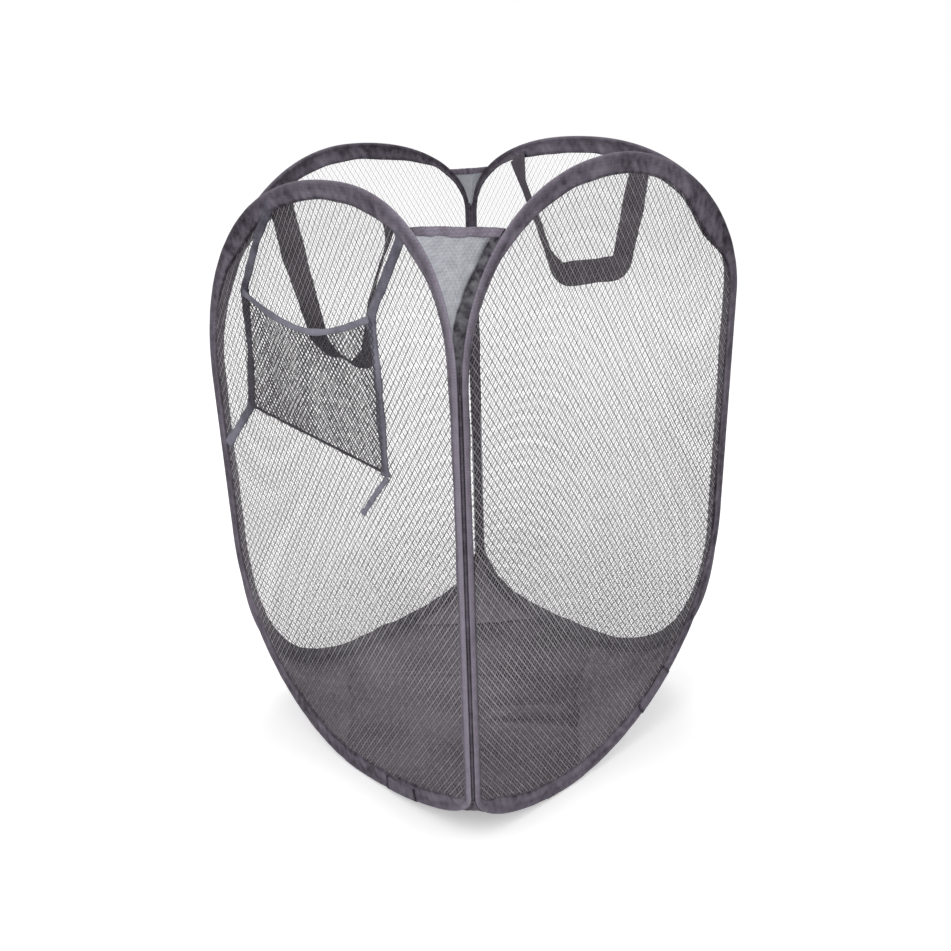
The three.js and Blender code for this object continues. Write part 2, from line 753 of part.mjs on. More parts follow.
// Side tape of the pocket: it stands on the panel's net, and a slot in its inner edge holds the
// pocket's net. inner is +1 where that edge looks along +y of the section.
function tapeSection(inner) {
  const half = tapeWidth / 2;
  const middle = -pocketNetY;
  const slot = netThickness / 2 + fit;
  const edge = half * inner;
  const deep = (half - tapeSlotDepth) * inner;
  return new THREE.Shape([
    new THREE.Vector2(-tapeBack, -edge),
    new THREE.Vector2(-tapeFront, -edge),
    new THREE.Vector2(-tapeFront, edge),
    new THREE.Vector2(middle + slot, edge),
    new THREE.Vector2(middle + slot, deep),
    new THREE.Vector2(middle - slot, deep),
    new THREE.Vector2(middle - slot, edge),
    new THREE.Vector2(-tapeBack, edge),
  ]);
}

// Place under the crown of the front hoop where the middle of a tape ends at the sleeve
function tapeTop(side, end) {
  const angle = angleAtReach(panels.front, end, 'top', width * tapeTopShares[side]);
  return chordPoint(panels.front, end, 'top', angle, -sleeveWidth - tapeTopSeats[side]);
}

function addPocketTapes(group) {
  const inset = tapeWidth / 2;
  const leftPath = [
    tapeTop('left', 'b'),
    new THREE.Vector3(pocketLeft + inset, 0, mouthHeight),
    new THREE.Vector3(pocketLeftFoot + inset, 0, pocketLeftBottom),
    new THREE.Vector3(sleeveWidth + tapeTailSeat - reach, 0, height * tapeTailShare),
  ];
  const rightPath = [
    tapeTop('right', 'a'),
    new THREE.Vector3(pocketRight - inset, 0, mouthHeight),
    new THREE.Vector3(pocketRightFoot - inset, 0, pocketRightBottom),
  ];
  addPiece('pocket_left_tape', sweep(tapeSection(-1), leftPath), 'tape', group);
  addPiece('pocket_right_tape', sweep(tapeSection(1), rightPath), 'tape', group);
}

// Hem along the mouth: a strip folded over the top edge of the pocket's net, open below
function addPocketHem(group) {
  const slot = netThickness / 2 + fit;
  const outer = slot + clothThickness;
  const low = hemWidth - clothThickness;
  const section = [
    new THREE.Vector2(outer, clothThickness),
    new THREE.Vector2(-outer, clothThickness),
    new THREE.Vector2(-outer, -low),
    new THREE.Vector2(-slot, -low),
    new THREE.Vector2(-slot, 0),
    new THREE.Vector2(slot, 0),
    new THREE.Vector2(slot, -low),
    new THREE.Vector2(outer, -low),
  ];
  const path = mouthPath(pocketRight - tapeWidth - 2 * fit, pocketLeft + tapeWidth + 2 * fit);
  const rings = path.map((p) => section.map(({ x, y }) => new THREE.Vector3(p.x, p.y - x, p.z + y)));
  addPiece('pocket_hem', loft(section, rings), 'tape', group);
}

// Rolled seam that closes the bottom of the pocket
function addPocketSeam(group) {
  const margin = tapeWidth + 2 * fit;
  const ends = [pocketLeftFoot + margin, pocketRightFoot - margin];
  const low = ends.map((x) => new THREE.Vector2(x, pocketBottomZ(x) - hemWidth / 2));
  const high = ends.map((x) => new THREE.Vector2(x, pocketBottomZ(x) + hemWidth / 2 - fit)).reverse();
  const depth = -(tapeFront - tapeBack);
  const geometry = panelPlate(new THREE.Shape([...low, ...high]), depth);
  const seam = addPiece('pocket_bottom_seam', geometry, 'net', group);
  seam.position.y = (tapeFront + tapeBack) / 2;
}

// Loose end of the right tape
function addTapeTail(group) {
  const from = new THREE.Vector2(pocketRightFoot - tapeWidth / 2, pocketRightBottom - tapeWidth / 2);
  const to = new THREE.Vector2(from.x - tailRun, from.y - tailFall);
  const across = to.clone().sub(from).rotateAround(new THREE.Vector2(), rightAngle).setLength(tailWidth / 2);
  const outline = [
    from.clone().sub(across),
    to.clone().sub(across),
    to.clone().add(across),
    from.clone().add(across),
  ];
  const geometry = panelPlate(new THREE.Shape(outline), tailThickness);
  const tail = addPiece('pocket_tape_tail', geometry, 'tape', group);
  tail.position.y = tapeBack - tailThickness / 2;
}

function addPocket(group) {
  addPocketNet(group);
  addPocketTapes(group);
  addPocketHem(group);
  addPocketSeam(group);
  addTapeTail(group);
}

// Assembly

const groups = {};
for (const panel of Object.values(panels)) groups[panel.name] = addPanel(panel);
for (const [name, corner] of Object.entries(corners)) {
  addSeam(name, corner);
  addTopGusset(name, corner);
  addFootGusset(name, corner);
}
addBase();
addHandle(panels.front, groups.front);
addHandle(panels.back, groups.back);
addPocket(groups.front);

export default object;
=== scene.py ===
import math

import bpy
import numpy as np
from mathutils import Matrix, Vector

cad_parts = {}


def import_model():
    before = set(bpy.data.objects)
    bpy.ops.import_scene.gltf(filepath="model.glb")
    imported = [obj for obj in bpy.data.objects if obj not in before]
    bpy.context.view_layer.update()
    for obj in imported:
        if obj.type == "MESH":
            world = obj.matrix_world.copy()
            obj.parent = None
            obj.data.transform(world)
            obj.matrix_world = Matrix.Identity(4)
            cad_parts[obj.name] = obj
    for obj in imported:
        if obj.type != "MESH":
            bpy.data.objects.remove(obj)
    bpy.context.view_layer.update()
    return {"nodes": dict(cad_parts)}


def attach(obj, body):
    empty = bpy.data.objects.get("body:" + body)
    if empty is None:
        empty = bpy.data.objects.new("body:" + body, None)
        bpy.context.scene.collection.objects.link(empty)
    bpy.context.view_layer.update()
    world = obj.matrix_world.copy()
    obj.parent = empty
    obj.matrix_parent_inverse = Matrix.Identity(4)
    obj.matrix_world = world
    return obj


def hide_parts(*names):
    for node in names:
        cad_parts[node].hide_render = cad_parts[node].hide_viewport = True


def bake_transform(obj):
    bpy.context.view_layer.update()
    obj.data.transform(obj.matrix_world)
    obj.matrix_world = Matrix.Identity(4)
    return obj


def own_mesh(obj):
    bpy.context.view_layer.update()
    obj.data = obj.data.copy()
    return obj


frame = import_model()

# Sizes repeated from the part's source, in metres
MM = 0.001
WIDTH = 350 * MM
HEIGHT = 566 * MM
PLANE = WIDTH / 2
TOP_JOIN = {"front_right": 0.73, "back_right": 0.767, "back_left": 0.849, "front_left": 0.639}
FOOT_JOIN = {"front_right": 0.09, "back_right": 0.382, "back_left": 0.121, "front_left": 0.349}
CROWN_HEIGHT = {"front": 0.981, "right": 1, "back": 0.9915, "left": 0.993}
CROWN_SHIFT = {"front": 0.1, "right": 0, "back": 0.026, "left": 0.027}
FOOT_SHIFT = {"front": 0.03, "right": 0.15, "back": 0.07, "left": -0.02}
CROWN_POWER = {"front": dict(a=2.35, b=2.15), "right": dict(a=2.15, b=1.85), "back": dict(a=2.2, b=2.2),
               "left": dict(a=2.05, b=2.05)}
FOOT_POWER = {"front": 1.9, "right": 1.9, "back": 2.7, "left": 2.9}
FOOT_LIFT = 1.2 * MM
REACH = 171.8 * MM
FIT = 0.3 * MM
GUSSET_TIP = 0.25 * MM
GUSSET_TOP = 0.932
PANELS = {
    "front": dict(turn=0.0, side=1, a="front_right", b="front_left"),
    "right": dict(turn=math.pi / 2, side=-1, a="front_right", b="back_right"),
    "back": dict(turn=math.pi, side=1, a="back_left", b="back_right"),
    "left": dict(turn=1.5 * math.pi, side=-1, a="back_left", b="front_left"),
}
CORNERS = {
    "front_right": ("front", "right", "a"),
    "back_right": ("right", "back", "b"),
    "back_left": ("back", "left", "a"),
    "front_left": ("left", "front", "b"),
}
# Direction in which each panel faces, in plan
OUTWARD = {"front": (0, -1), "right": (1, 0), "back": (0, 1), "left": (-1, 0)}
# Side on which each end of a panel lies
SIGN = {"a": 1, "b": -1}


def joined(corner):
    """Heights between which the two hoops of a corner are sewn together."""
    return HEIGHT * FOOT_JOIN[corner], HEIGHT * TOP_JOIN[corner]


def unit(vectors):
    return vectors / np.linalg.norm(vectors, axis=1, keepdims=True)


def bell(distance, width):
    """1 at no distance, falling to 0 over about twice the width."""
    return np.exp(-((distance / width) ** 2))


def quarter(panel, end, level):
    """(sign, shift, half, join, rise, power) of a quarter of a hoop, from the join at angle 0 to crown or foot."""
    top = level == "top"
    sign = SIGN[end]
    shift = WIDTH * (CROWN_SHIFT if top else FOOT_SHIFT)[panel]
    join = HEIGHT * (TOP_JOIN if top else FOOT_JOIN)[PANELS[panel][end]]
    rise = (HEIGHT * CROWN_HEIGHT[panel] if top else FOOT_LIFT) - join
    return sign, shift, REACH - sign * shift, join, rise, CROWN_POWER[panel][end] if top else FOOT_POWER[panel]


def rim(panel, end, level, angle, outset=0.0):
    """Points (x, z) of a hoop's rim in the panel's own frame, for an array of angles."""
    sign, shift, half, join, rise, power = quarter(panel, end, level)
    c = np.clip(np.cos(angle), 1e-9, None)
    s = np.clip(np.sin(angle), 1e-9, None)
    nx = sign * c ** (2 - 2 / power) / half
    nz = math.copysign(1, rise) * s ** (2 - 2 / power) / abs(rise)
    n = np.hypot(nx, nz)
    x = shift + sign * half * c ** (2 / power) + nx / n * outset
    z = join + rise * s ** (2 / power) + nz / n * outset
    return np.stack([PANELS[panel]["side"] * x, z], -1)


def angle_at_height(panel, end, level, z):
    _, _, _, join, rise, power = quarter(panel, end, level)
    return math.asin(((z - join) / rise) ** (power / 2))


def angle_at_reach(panel, end, level, x):
    sign, shift, half, _, _, power = quarter(panel, end, level)
    return math.acos((sign * (x - shift) / half) ** (power / 2))


def foot_height(panel, x):
    """Height of the foot of a hoop over a place along the panel."""
    side = PANELS[panel]["side"]
    end = "a" if side * x >= WIDTH * FOOT_SHIFT[panel] else "b"
    return float(rim(panel, end, "foot", angle_at_reach(panel, end, "foot", side * x))[1])


def loop(panel, count):
    """(points, outward normals, length) round a hoop, evenly spaced, counterclockwise seen from outside."""
    t = np.linspace(0, math.pi / 2, 200)
    parts = [rim(panel, "a", "foot", t[::-1]), rim(panel, "a", "top", t), rim(panel, "b", "top", t[::-1]),
             rim(panel, "b", "foot", t)]
    pts = np.concatenate([q[:-1] for q in parts])
    if PANELS[panel]["side"] < 0:
        pts = pts[::-1]
    closed = np.concatenate([pts, pts[:1]])
    length = np.concatenate([[0], np.cumsum(np.linalg.norm(np.diff(closed, axis=0), axis=1))])
    at = np.linspace(0, length[-1], count, endpoint=False)
    out = np.stack([np.interp(at, length, closed[:, k]) for k in (0, 1)], -1)
    d = unit(np.roll(out, -1, 0) - np.roll(out, 1, 0))
    return out, np.stack([d[:, 1], -d[:, 0]], -1), length[-1]


def world(panel, x, y, z):
    """Points of a panel's frame in the row frame. y is measured inwards from the middle of the panel."""
    a = PANELS[panel]["turn"]
    yy = y - PLANE
    return np.stack([x * math.cos(a) - yy * math.sin(a), x * math.sin(a) + yy * math.cos(a), z + 0 * x], -1)


def from_panel(panel, points):
    """world() for points whose last axis holds x, y and z."""
    return world(panel, points[..., 0], points[..., 1], points[..., 2])


def wave(t, seed, lows=(3, 5, 8, 13), falloff=0.7):
    """A smooth closed wave over t from 0 to 1, between about -1 and 1."""
    rng = np.random.default_rng(seed)
    out = np.zeros_like(t)
    total = 0
    for k, n in enumerate(lows):
        amp = falloff ** k
        total += amp
        out += amp * np.sin(2 * math.pi * (n * t + rng.random()))
    return out / total * 1.4


def add_object(name, data):
    obj = bpy.data.objects.new(name, data)
    bpy.context.scene.collection.objects.link(obj)
    return obj


def grid_faces(rows, cols, wrap_rows=False, wrap_cols=False):
    faces = []
    for i in range(rows if wrap_rows else rows - 1):
        for j in range(cols if wrap_cols else cols - 1):
            a, b = i * cols + j, i * cols + (j + 1) % cols
            c, d = ((i + 1) % rows) * cols + (j + 1) % cols, ((i + 1) % rows) * cols + j
            faces.append((a, b, c, d))
    return faces


# Materials

def new_material(name):
    m = bpy.data.materials.new(name)
    m.use_nodes = True
    nt = m.node_tree
    return m, nt, nt.nodes["Principled BSDF"]


def add_node(nt, kind, inputs, **settings):
    """A node whose inputs are set to a number or an (r, g, b) colour, or linked to another node's output."""
    n = nt.nodes.new(kind)
    for key, value in settings.items():
        setattr(n, key, value)
    for key, value in inputs.items():
        if isinstance(value, (int, float)):
            n.inputs[key].default_value = value
        elif isinstance(value, tuple):
            n.inputs[key].default_value = (*value, 1)
        else:
            nt.links.new(value, n.inputs[key])
    return n


def math_node(nt, operation, *values):
    return add_node(nt, "ShaderNodeMath", dict(enumerate(values)), operation=operation).outputs[0]


def mix_color(nt, fac, a, b):
    return add_node(nt, "ShaderNodeMix", {0: fac, 6: a, 7: b}, data_type="RGBA").outputs[2]


def ramp(nt, fac, low, high):
    """A grey ramp between two stops (place, value)."""
    n = add_node(nt, "ShaderNodeValToRGB", {0: fac})
    for element, (place, value) in zip(n.color_ramp.elements, (low, high)):
        element.position, element.color = place, (value, value, value, 1)
    return n.outputs[0]


def noise(nt, coord, scale, detail):
    inputs = {"Scale": scale, "Detail": detail, "Roughness": 0.55, "Vector": coord}
    return add_node(nt, "ShaderNodeTexNoise", inputs).outputs[0]


def srgb(r, g, b):
    """The linear values of a colour given from 0 to 255."""
    shares = [v / 255 for v in (r, g, b)]
    return tuple(v / 12.92 if v <= 0.04045 else ((v + 0.055) / 1.055) ** 2.4 for v in shares)


def cloth_material(name, dark, light, weave=1300.0, bump=0.25, rough=0.8):
    """Woven cloth: a fine weave in bump and tone, and the tone that is painted on the mesh with slow blotches."""
    m, nt, b = new_material(name)
    co = nt.nodes.new("ShaderNodeTexCoord").outputs["Object"]
    slow = noise(nt, co, 9.0, 4.0)
    fine = noise(nt, co, 160.0, 2.0)
    painted = add_node(nt, "ShaderNodeAttribute", {}, attribute_name="shade").outputs["Fac"]
    shaded = math_node(nt, "MULTIPLY_ADD", slow, 0.5, painted)
    tone = mix_color(nt, ramp(nt, shaded, (0.1, 0.0), (1.0, 1.0)), dark, light)
    inputs = {"Scale": weave / 10, "Distortion": 1.2, "Detail": 1.0, "Vector": co}
    x, y, z = [add_node(nt, "ShaderNodeTexWave", inputs, bands_direction=axis).outputs["Fac"] for axis in "XYZ"]
    total = math_node(nt, "ADD", math_node(nt, "ADD", x, y), z)
    woven = math_node(nt, "MULTIPLY", total, 1 / 3)
    tone = mix_color(nt, ramp(nt, woven, (0.25, 0.22), (0.75, 0.0)), tone, tuple(0.45 * v for v in dark))
    tone = mix_color(nt, ramp(nt, fine, (0.35, 0.0), (0.75, 0.16)), tone, tuple(min(1, 1.5 * v) for v in light))
    nt.links.new(tone, b.inputs["Base Color"])
    relief = add_node(nt, "ShaderNodeBump", {"Strength": bump, "Distance": 0.0004, "Height": woven})
    nt.links.new(relief.outputs[0], b.inputs["Normal"])
    nt.links.new(ramp(nt, slow, (0.2, rough - 0.08), (0.8, rough + 0.1)), b.inputs["Roughness"])
    b.inputs["Specular IOR Level"].default_value = 0.12
    return m


MAT = {
    "sleeve": cloth_material("sleeve_cloth", srgb(36, 30, 39), srgb(148, 140, 154)),
    "net": cloth_material("net_thread", srgb(50, 45, 51), srgb(200, 197, 200), weave=2600.0),
    "pocket_net": cloth_material("pocket_net_thread", srgb(50, 46, 52), srgb(90, 87, 93), weave=2600.0),
    "gusset": cloth_material("gusset_cloth", srgb(44, 38, 48), srgb(206, 209, 216), weave=1500.0, rough=0.6),
    "base": cloth_material("base_cloth", srgb(40, 34, 42), srgb(150, 141, 153)),
    "strap": cloth_material("strap_cloth", srgb(30, 26, 31), srgb(92, 86, 93), weave=1000.0, bump=0.5),
    "tape": cloth_material("tape_cloth", srgb(58, 54, 64), srgb(148, 147, 160), weave=1400.0),
    "thread": cloth_material("stitch_thread", srgb(50, 44, 52), srgb(104, 98, 107), weave=3000.0),
}


def steel_material():
    m, nt, b = new_material("spring_steel")
    co = nt.nodes.new("ShaderNodeTexCoord").outputs["Object"]
    n = noise(nt, co, 220.0, 3.0)
    nt.links.new(mix_color(nt, n, srgb(150, 152, 156), srgb(196, 198, 202)), b.inputs["Base Color"])
    nt.links.new(ramp(nt, n, (0.2, 0.28), (0.8, 0.45)), b.inputs["Roughness"])
    b.inputs["Metallic"].default_value = 1.0
    return m


MAT["steel"] = steel_material()


def piece(name, verts, faces, tones, mat="sleeve", smooth=True, thickness=0.0):
    """A mesh with tones at its vertices, about 0 for dark and 1 for light. A sheet's thickness lies on both sides."""
    mesh = bpy.data.meshes.new(name)
    points = [tuple(v) for v in np.asarray(verts, float).reshape(-1, 3)]
    mesh.from_pydata(points, [], [tuple(map(int, f)) for f in faces])
    mesh.validate()
    mesh.update()
    if smooth:
        mesh.polygons.foreach_set("use_smooth", [True] * len(mesh.polygons))
    tones = np.broadcast_to(np.asarray(tones, float).ravel(), (len(mesh.vertices),))
    layer = mesh.attributes.new("shade", "FLOAT", "POINT")
    layer.data.foreach_set("value", np.clip(tones, -0.6, 1.4).astype(np.float32))
    obj = add_object(name, mesh)
    if thickness:
        thick = obj.modifiers.new("thick", "SOLIDIFY")
        thick.thickness = thickness
        thick.offset = 0.0
        thick.use_even_offset = False
        bpy.context.view_layer.update()
        solid = bpy.data.meshes.new_from_object(obj.evaluated_get(bpy.context.evaluated_depsgraph_get()))
        obj.modifiers.clear()
        obj.data = solid
    obj.data.materials.append(MAT[mat])
    return obj


# Nets

# Width and height of the diamonds between the threads
PITCH = 6.6 * MM
RISE = 9.4 * MM
# Sides of a thread, and its depth over its width
THREAD_SIDES = 3
THREAD_FLATNESS = 0.8


def inside(outline, pts):
    """True for the points within a closed outline."""
    x, z = pts[:, 0], pts[:, 1]
    a, b = outline, np.roll(outline, 1, 0)
    result = np.zeros(len(pts), bool)
    for (ax, az), (bx, bz) in zip(a, b):
        cross = (az > z) != (bz > z)
        if cross.any():
            result ^= cross & (x < (bx - ax) * (z - az) / (bz - az) + ax)
    return result


def lattice(accept, low, high, pitch, rise, strands, depth_of, taper=lambda q: np.ones(len(q))):
    """Threads of a knitted net as prisms: (vertices, faces, which vertices are on rising threads).

    strands holds the thickness of the rising and of the falling threads, and taper(place) scales it. The vertices are
    x, y and z in the panel's own frame.
    """
    nx = int((high[0] - low[0]) / (pitch / 2)) + 2
    nz = int((high[1] - low[1]) / (rise / 2)) + 2
    i, j = np.meshgrid(np.arange(nx), np.arange(nz), indexing="ij")
    even = (i + j) % 2 == 0
    start = np.stack([low[0] + i[even] * pitch / 2, low[1] + j[even] * rise / 2], -1)
    a = np.concatenate([start, start])
    b = np.concatenate([start + np.array([pitch / 2, way * rise / 2]) for way in (1, -1)])
    rising = np.repeat([True, False], len(start))
    ok = accept(a) & accept(b)
    a, b, rising = a[ok], b[ok], rising[ok]
    strand = (np.where(rising, strands[0], strands[1]) * taper(a))[:, None]
    d = unit(b - a)
    n = np.stack([-d[:, 1], d[:, 0]], -1)
    sides = THREAD_SIDES
    verts = np.zeros((len(a), 2 * sides, 3))
    for k in range(sides):
        ang = 2 * math.pi * k / sides + math.pi / 2
        off = n * math.cos(ang) * strand / 2
        out = math.sin(ang) * strand[:, 0] / 2 * THREAD_FLATNESS
        for e, q in enumerate((a, b)):
            p = q + off
            verts[:, e * sides + k] = np.stack([p[:, 0], depth_of(q) + out, p[:, 1]], -1)
    base = np.arange(len(a))[:, None] * 2 * sides
    corners = [[k, (k + 1) % sides, sides + (k + 1) % sides, sides + k] for k in range(sides)]
    quads = np.concatenate([base + np.array([c]) for c in corners])
    return verts.reshape(-1, 3), quads, np.repeat(rising, 2 * sides)


def net_piece(name, panel, verts, faces, tones, mat, node):
    """A net from points in its panel's frame, with a flat UV map for baking."""
    obj = piece(name, from_panel(panel, verts), faces, tones, mat, smooth=False)
    layer = obj.data.uv_layers.new(name="OFBake")
    index = np.empty(len(obj.data.loops), int)
    obj.data.loops.foreach_get("vertex_index", index)
    flat = verts[:, [0, 2]]
    uv = (flat - flat.min(0)) / (np.ptp(flat, axis=0) + 1e-9)
    layer.data.foreach_set("uv", uv[index].ravel())
    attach(obj, panel)
    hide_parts(node)


# Threads of each net, in two sets: shift of the set in pitches, then thickness (mm) and tone of its rising and of its
# falling threads. Finer threads lie between the heavy ones, and the nets against the light look fine. The tones are
# painted light and shade: the back and left nets are painted pale, the front and right ones darker.
NET_THREADS = {
    "front": [(0, (1.2, 0.2), (0.75, 0.2)), (0.5, (0.26, 0.2), (0.26, 0.2))],
    "right": [(0, (0.82, 0.2), (1.26, 0.2)), (0.5, (0.36, 0.2), (0.36, 0.2))],
    "back": [(0, (0.6, 0.8), (0.85, 0.62)), (0.5, (0.26, 0.9), (0.26, 0.9))],
    "left": [(0, (0.85, 0.62), (0.6, 0.8)), (0.5, (0.26, 0.9), (0.26, 0.9))],
}
# Height up to which the threads are darker, because the loose cloth of the base shades them, and their tone there
NET_SHADED = 150 * MM
NET_SHADED_TONE = 0.04
# Distance of a net's edge from the outline of its hoop, and how much thinner and darker its threads are at the top
NET_INSET = 4.8 * MM
NET_THINNER = 0.32
NET_DARKER = 0.1


def high_share(z):
    """0 in the lower half of a net, rising to 1 near its top, where the threads are drawn out finer and darker."""
    return np.clip((z - 0.5 * HEIGHT) / (0.3 * HEIGHT), 0, 1)


def make_net(panel, seed):
    pts, nrm, _ = loop(panel, 240)
    outline = pts - nrm * NET_INSET

    def depth(q):
        x, z = q[:, 0] / PLANE, q[:, 1] / HEIGHT
        edge = np.clip(1 - np.abs(x) ** 3, 0, 1) * np.clip(1 - np.abs(2 * z - 1) ** 3, 0, 1)
        return edge * MM * (1.1 * np.sin(3.1 * x + 2.2 * z * 4 + seed) + 0.8 * np.sin(5 * z * 3 - 2 * x + 2 * seed))

    v, f, tone = np.zeros((0, 3)), np.zeros((0, 4), int), np.zeros(0)
    for shift, rise, fall in NET_THREADS[panel]:
        more, quads, rising = lattice(lambda q: inside(outline, q), (-PLANE + shift * PITCH, 0), (PLANE, HEIGHT),
                                      PITCH, RISE, (rise[0] * MM, fall[0] * MM), depth,
                                      lambda q: 1 - NET_THINNER * high_share(q[:, 1]))
        f = np.concatenate([f, quads + len(v)])
        v = np.concatenate([v, more])
        tone = np.concatenate([tone, np.where(rising, rise[1], fall[1])])
    low = np.clip((NET_SHADED - v[:, 2]) / (40 * MM), 0, 1)
    tone = (tone - NET_DARKER * high_share(v[:, 2])) * (1 - low) + NET_SHADED_TONE * low
    net_piece(f"{panel}_net_mesh", panel, v, f, tone, "net", f"{panel}_net")


# Sleeves

def post_share(panel, pts, corner, fade):
    """1 along the stretch where a hoop is sewn to its neighbour at a corner, fading to 0 above and below."""
    x = pts[:, 0] * PANELS[panel]["side"] * SIGN[CORNERS[corner][2]]
    low, high = joined(corner)
    off = np.maximum(low - pts[:, 1], 0) / (24 * MM) + np.maximum(pts[:, 1] - high, 0) / fade
    return np.clip(1 - off, 0, 1) ** 0.7 * np.clip((x / REACH - 0.3) / 0.45, 0, 1)


# How much narrower (mm) a sleeve is along a corner, its tone there, and how far above the corner that fades out. The
# tone is painted light: a painted highlight on the front and right sleeves, painted shade on the back and left ones.
POSTS = {
    "front": {"front_right": (-4.6, 0.34, 130 * MM)},
    "right": {"front_right": (-6.6, 0.16, 150 * MM)},
    "back": {"back_left": (-7.0, -0.12, 110 * MM)},
    "left": {"back_left": (-7.0, -0.12, 110 * MM)},
}
# Places where the flaps of a sleeve hang wide: x, z, reach along the hoop, extra width, and tone, which is painted
# shade
FLARES = {
    "right": [(118 * MM, 528 * MM, 34 * MM, 9, -0.1), (140 * MM, 500 * MM, 28 * MM, 9, -0.16)],
    "front": [(-118 * MM, 520 * MM, 45 * MM, 5, -0.12)],
}
# Tone of each sleeve: painted shade, darker on the back and left sleeves
SLEEVE_TONE = {"front": 0.0, "right": -0.02, "back": -0.08, "left": -0.1}
# Width (mm) of the flaps along the sides of a hoop, and how much more they have at its crown and at its foot
FLAP = 11.5
CROWN_FLAP = 4.5
FOOT_FLAP = 7
# Radius (mm) of a sleeve round its wire, points round the wire and round a hoop, and width of the flat tape
SLEEVE_RADIUS = 2.1
ROUND_POINTS = 11
HOOP_POINTS = 720
# Places down one flap and up the other: offset (mm) from their middle and share of the width
FLAP_SECTION = [(-1.3, 0.22), (-1.5, 0.34), (-1.2, 0.5), (-1.35, 0.68), (-1.15, 0.86), (-1.25, 0.97), (-0.8, 1.0)]
FLAP_SECTION += [(-offset, share) for offset, share in FLAP_SECTION[::-1]]


def make_sleeve(panel, seed):
    """A sleeve, and for its stitches its (points, outward normals, flap widths, length)."""
    n = HOOP_POINTS
    pts, nrm, length = loop(panel, n)
    t = np.arange(n) / n
    foot = np.clip(1 - pts[:, 1] / (0.34 * HEIGHT), 0, 1)
    crown = np.clip((nrm[:, 1] - 0.2) / 0.6, 0, 1)
    width = FLAP + CROWN_FLAP * crown + FOOT_FLAP * foot
    # pale adds up painted light: the shade of each sleeve, the highlight or shade along its posts, and the shade where
    # its flaps hang wide
    pale = SLEEVE_TONE[panel] - 0.12 + 0 * t
    for corner, (extra, light, fade) in POSTS[panel].items():
        post = post_share(panel, pts, corner, fade)
        width = width * (1 - post) + (FLAP + extra) * post
        pale = pale + light * post
    for x, z, along, extra, light in FLARES.get(panel, []):
        near = np.exp(-(((pts[:, 0] - x) ** 2 + (pts[:, 1] - z) ** 2) / along ** 2))
        width = width + extra * near
        pale = pale + light * near
    slack = 0.25 + 0.75 * np.maximum(crown, foot)
    width = (width + (0.6 + 0.6 * crown) * wave(t, seed) + 0.5 * wave(t, seed + 1, (17, 29, 43)) * slack) * MM
    sway = (0.3 * wave(t, seed + 2, (11, 19, 31)) + 0.35 * foot * wave(t, seed + 3, (37, 53))) * MM
    patches = 0.5 * wave(t, seed + 4, (9, 17, 27, 41), 0.9)
    r = SLEEVE_RADIUS
    rows, tones = [], []
    for k in range(ROUND_POINTS):
        degrees = 40 + 280 * k / (ROUND_POINTS - 1)
        a = math.radians(degrees)
        bulge = 1 + 0.1 * wave(t + 0.004 * math.sin(a), seed + 9, (47, 71, 103)) * slack
        rows.append((-r * math.sin(a) * bulge * MM, (-r * math.cos(a) - r) * MM + 0 * t))
        # Painted highlight along the outermost line of the tube
        tones.append(0.24 + 0.34 * bell(degrees - 180, 55) + 0.1 * patches + pale)
    for sx, share in FLAP_SECTION:
        face = 1 if sx > 0 else -1
        slant = t + face * 0.006 * share
        pucker = 0.55 * wave(slant, seed + 5, (61, 83, 97)) + 0.35 * wave(slant, seed + 6, (139, 173))
        swell = math.sin(math.pi * min(1, share * 1.05))
        y = -sx * MM + sway * share * 2 - face * MM * np.abs(pucker) * 0.9 * slack * swell
        rows.append((y, -(2 * r) * MM * (1 - share) - width * share * (1 if face < 0 else 0.93)))
        # Painted shade just below the tube and along the inner edge of the flaps
        crease_shade = 0.16 * bell(share - 0.27, 0.09) + 0.2 * bell(share - 1, 0.1)
        # The wrinkles carry painted light and shade, and one face of the flaps is painted darker as shade
        tones.append(0.3 + 0.2 * patches * (0.4 + swell) + 0.12 * pucker * slack - crease_shade + 0.6 * pale
                     - (0.06 if face > 0 else 0))
    verts = np.zeros((n, len(rows), 3))
    for j, (y, out) in enumerate(rows):
        p = pts + nrm * out[:, None]
        verts[:, j] = world(panel, p[:, 0], y, np.maximum(p[:, 1], 0.4 * MM))
    faces = grid_faces(n, len(rows), True, True)
    obj = piece(f"{panel}_sleeve", verts, faces, np.stack(tones, 1))
    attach(obj, panel)
    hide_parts(f"{panel}_hoop_sleeve")
    return pts, nrm, width, length


# Length of a stitch with its gap, and distance of the stitches from the inner edge of the flaps
STITCH = 4.2 * MM
STITCH_INSET = 2.2 * MM


def make_stitches(panel, pts, nrm, width, length):
    """A row of short stitches along the inner edge of the sleeve, on both faces."""
    count = int(length / STITCH)
    n = len(pts)
    verts, faces = [], []
    for k in range(count):
        ends = []
        for s in (0.16, 0.84):
            i, f = divmod((k + s) / count * n, 1)
            i = int(i) % n
            p, q, w = [values[i] * (1 - f) + values[(i + 1) % n] * f for values in (pts, nrm, width)]
            ends.append((p - q * (w - STITCH_INSET), q))
        for face in (-1, 1):
            base = len(verts)
            for p, q in ends:
                for dn, dy in ((-0.3, 0.0), (0.0, 0.35), (0.3, 0.0)):
                    x, z = p + q * dn * MM
                    verts.append(world(panel, x, face * (1.22 + dy) * MM, z))
            faces += [(base, base + 1, base + 4, base + 3), (base + 1, base + 2, base + 5, base + 4)]
    obj = piece(f"{panel}_sleeve_stitches", verts, faces, 0.35, "thread")
    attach(obj, panel)


# Cloth across the corners: points up and across it

CLOTH_ROWS = 60
CLOTH_COLUMNS = 41


def on_corner(corner, level, angle, outset):
    """World points of the two hoops of a corner at an array of angles."""
    *pair, end = CORNERS[corner]
    rims = [rim(panel, end, level, angle, outset) for panel in pair]
    return [world(panel, q[:, 0], 0.0, q[:, 1]) for panel, q in zip(pair, rims)]


def tip_angle(corner, level):
    first, _, end = CORNERS[corner]
    return angle_at_reach(first, end, level, SIGN[end] * (REACH - GUSSET_TIP))


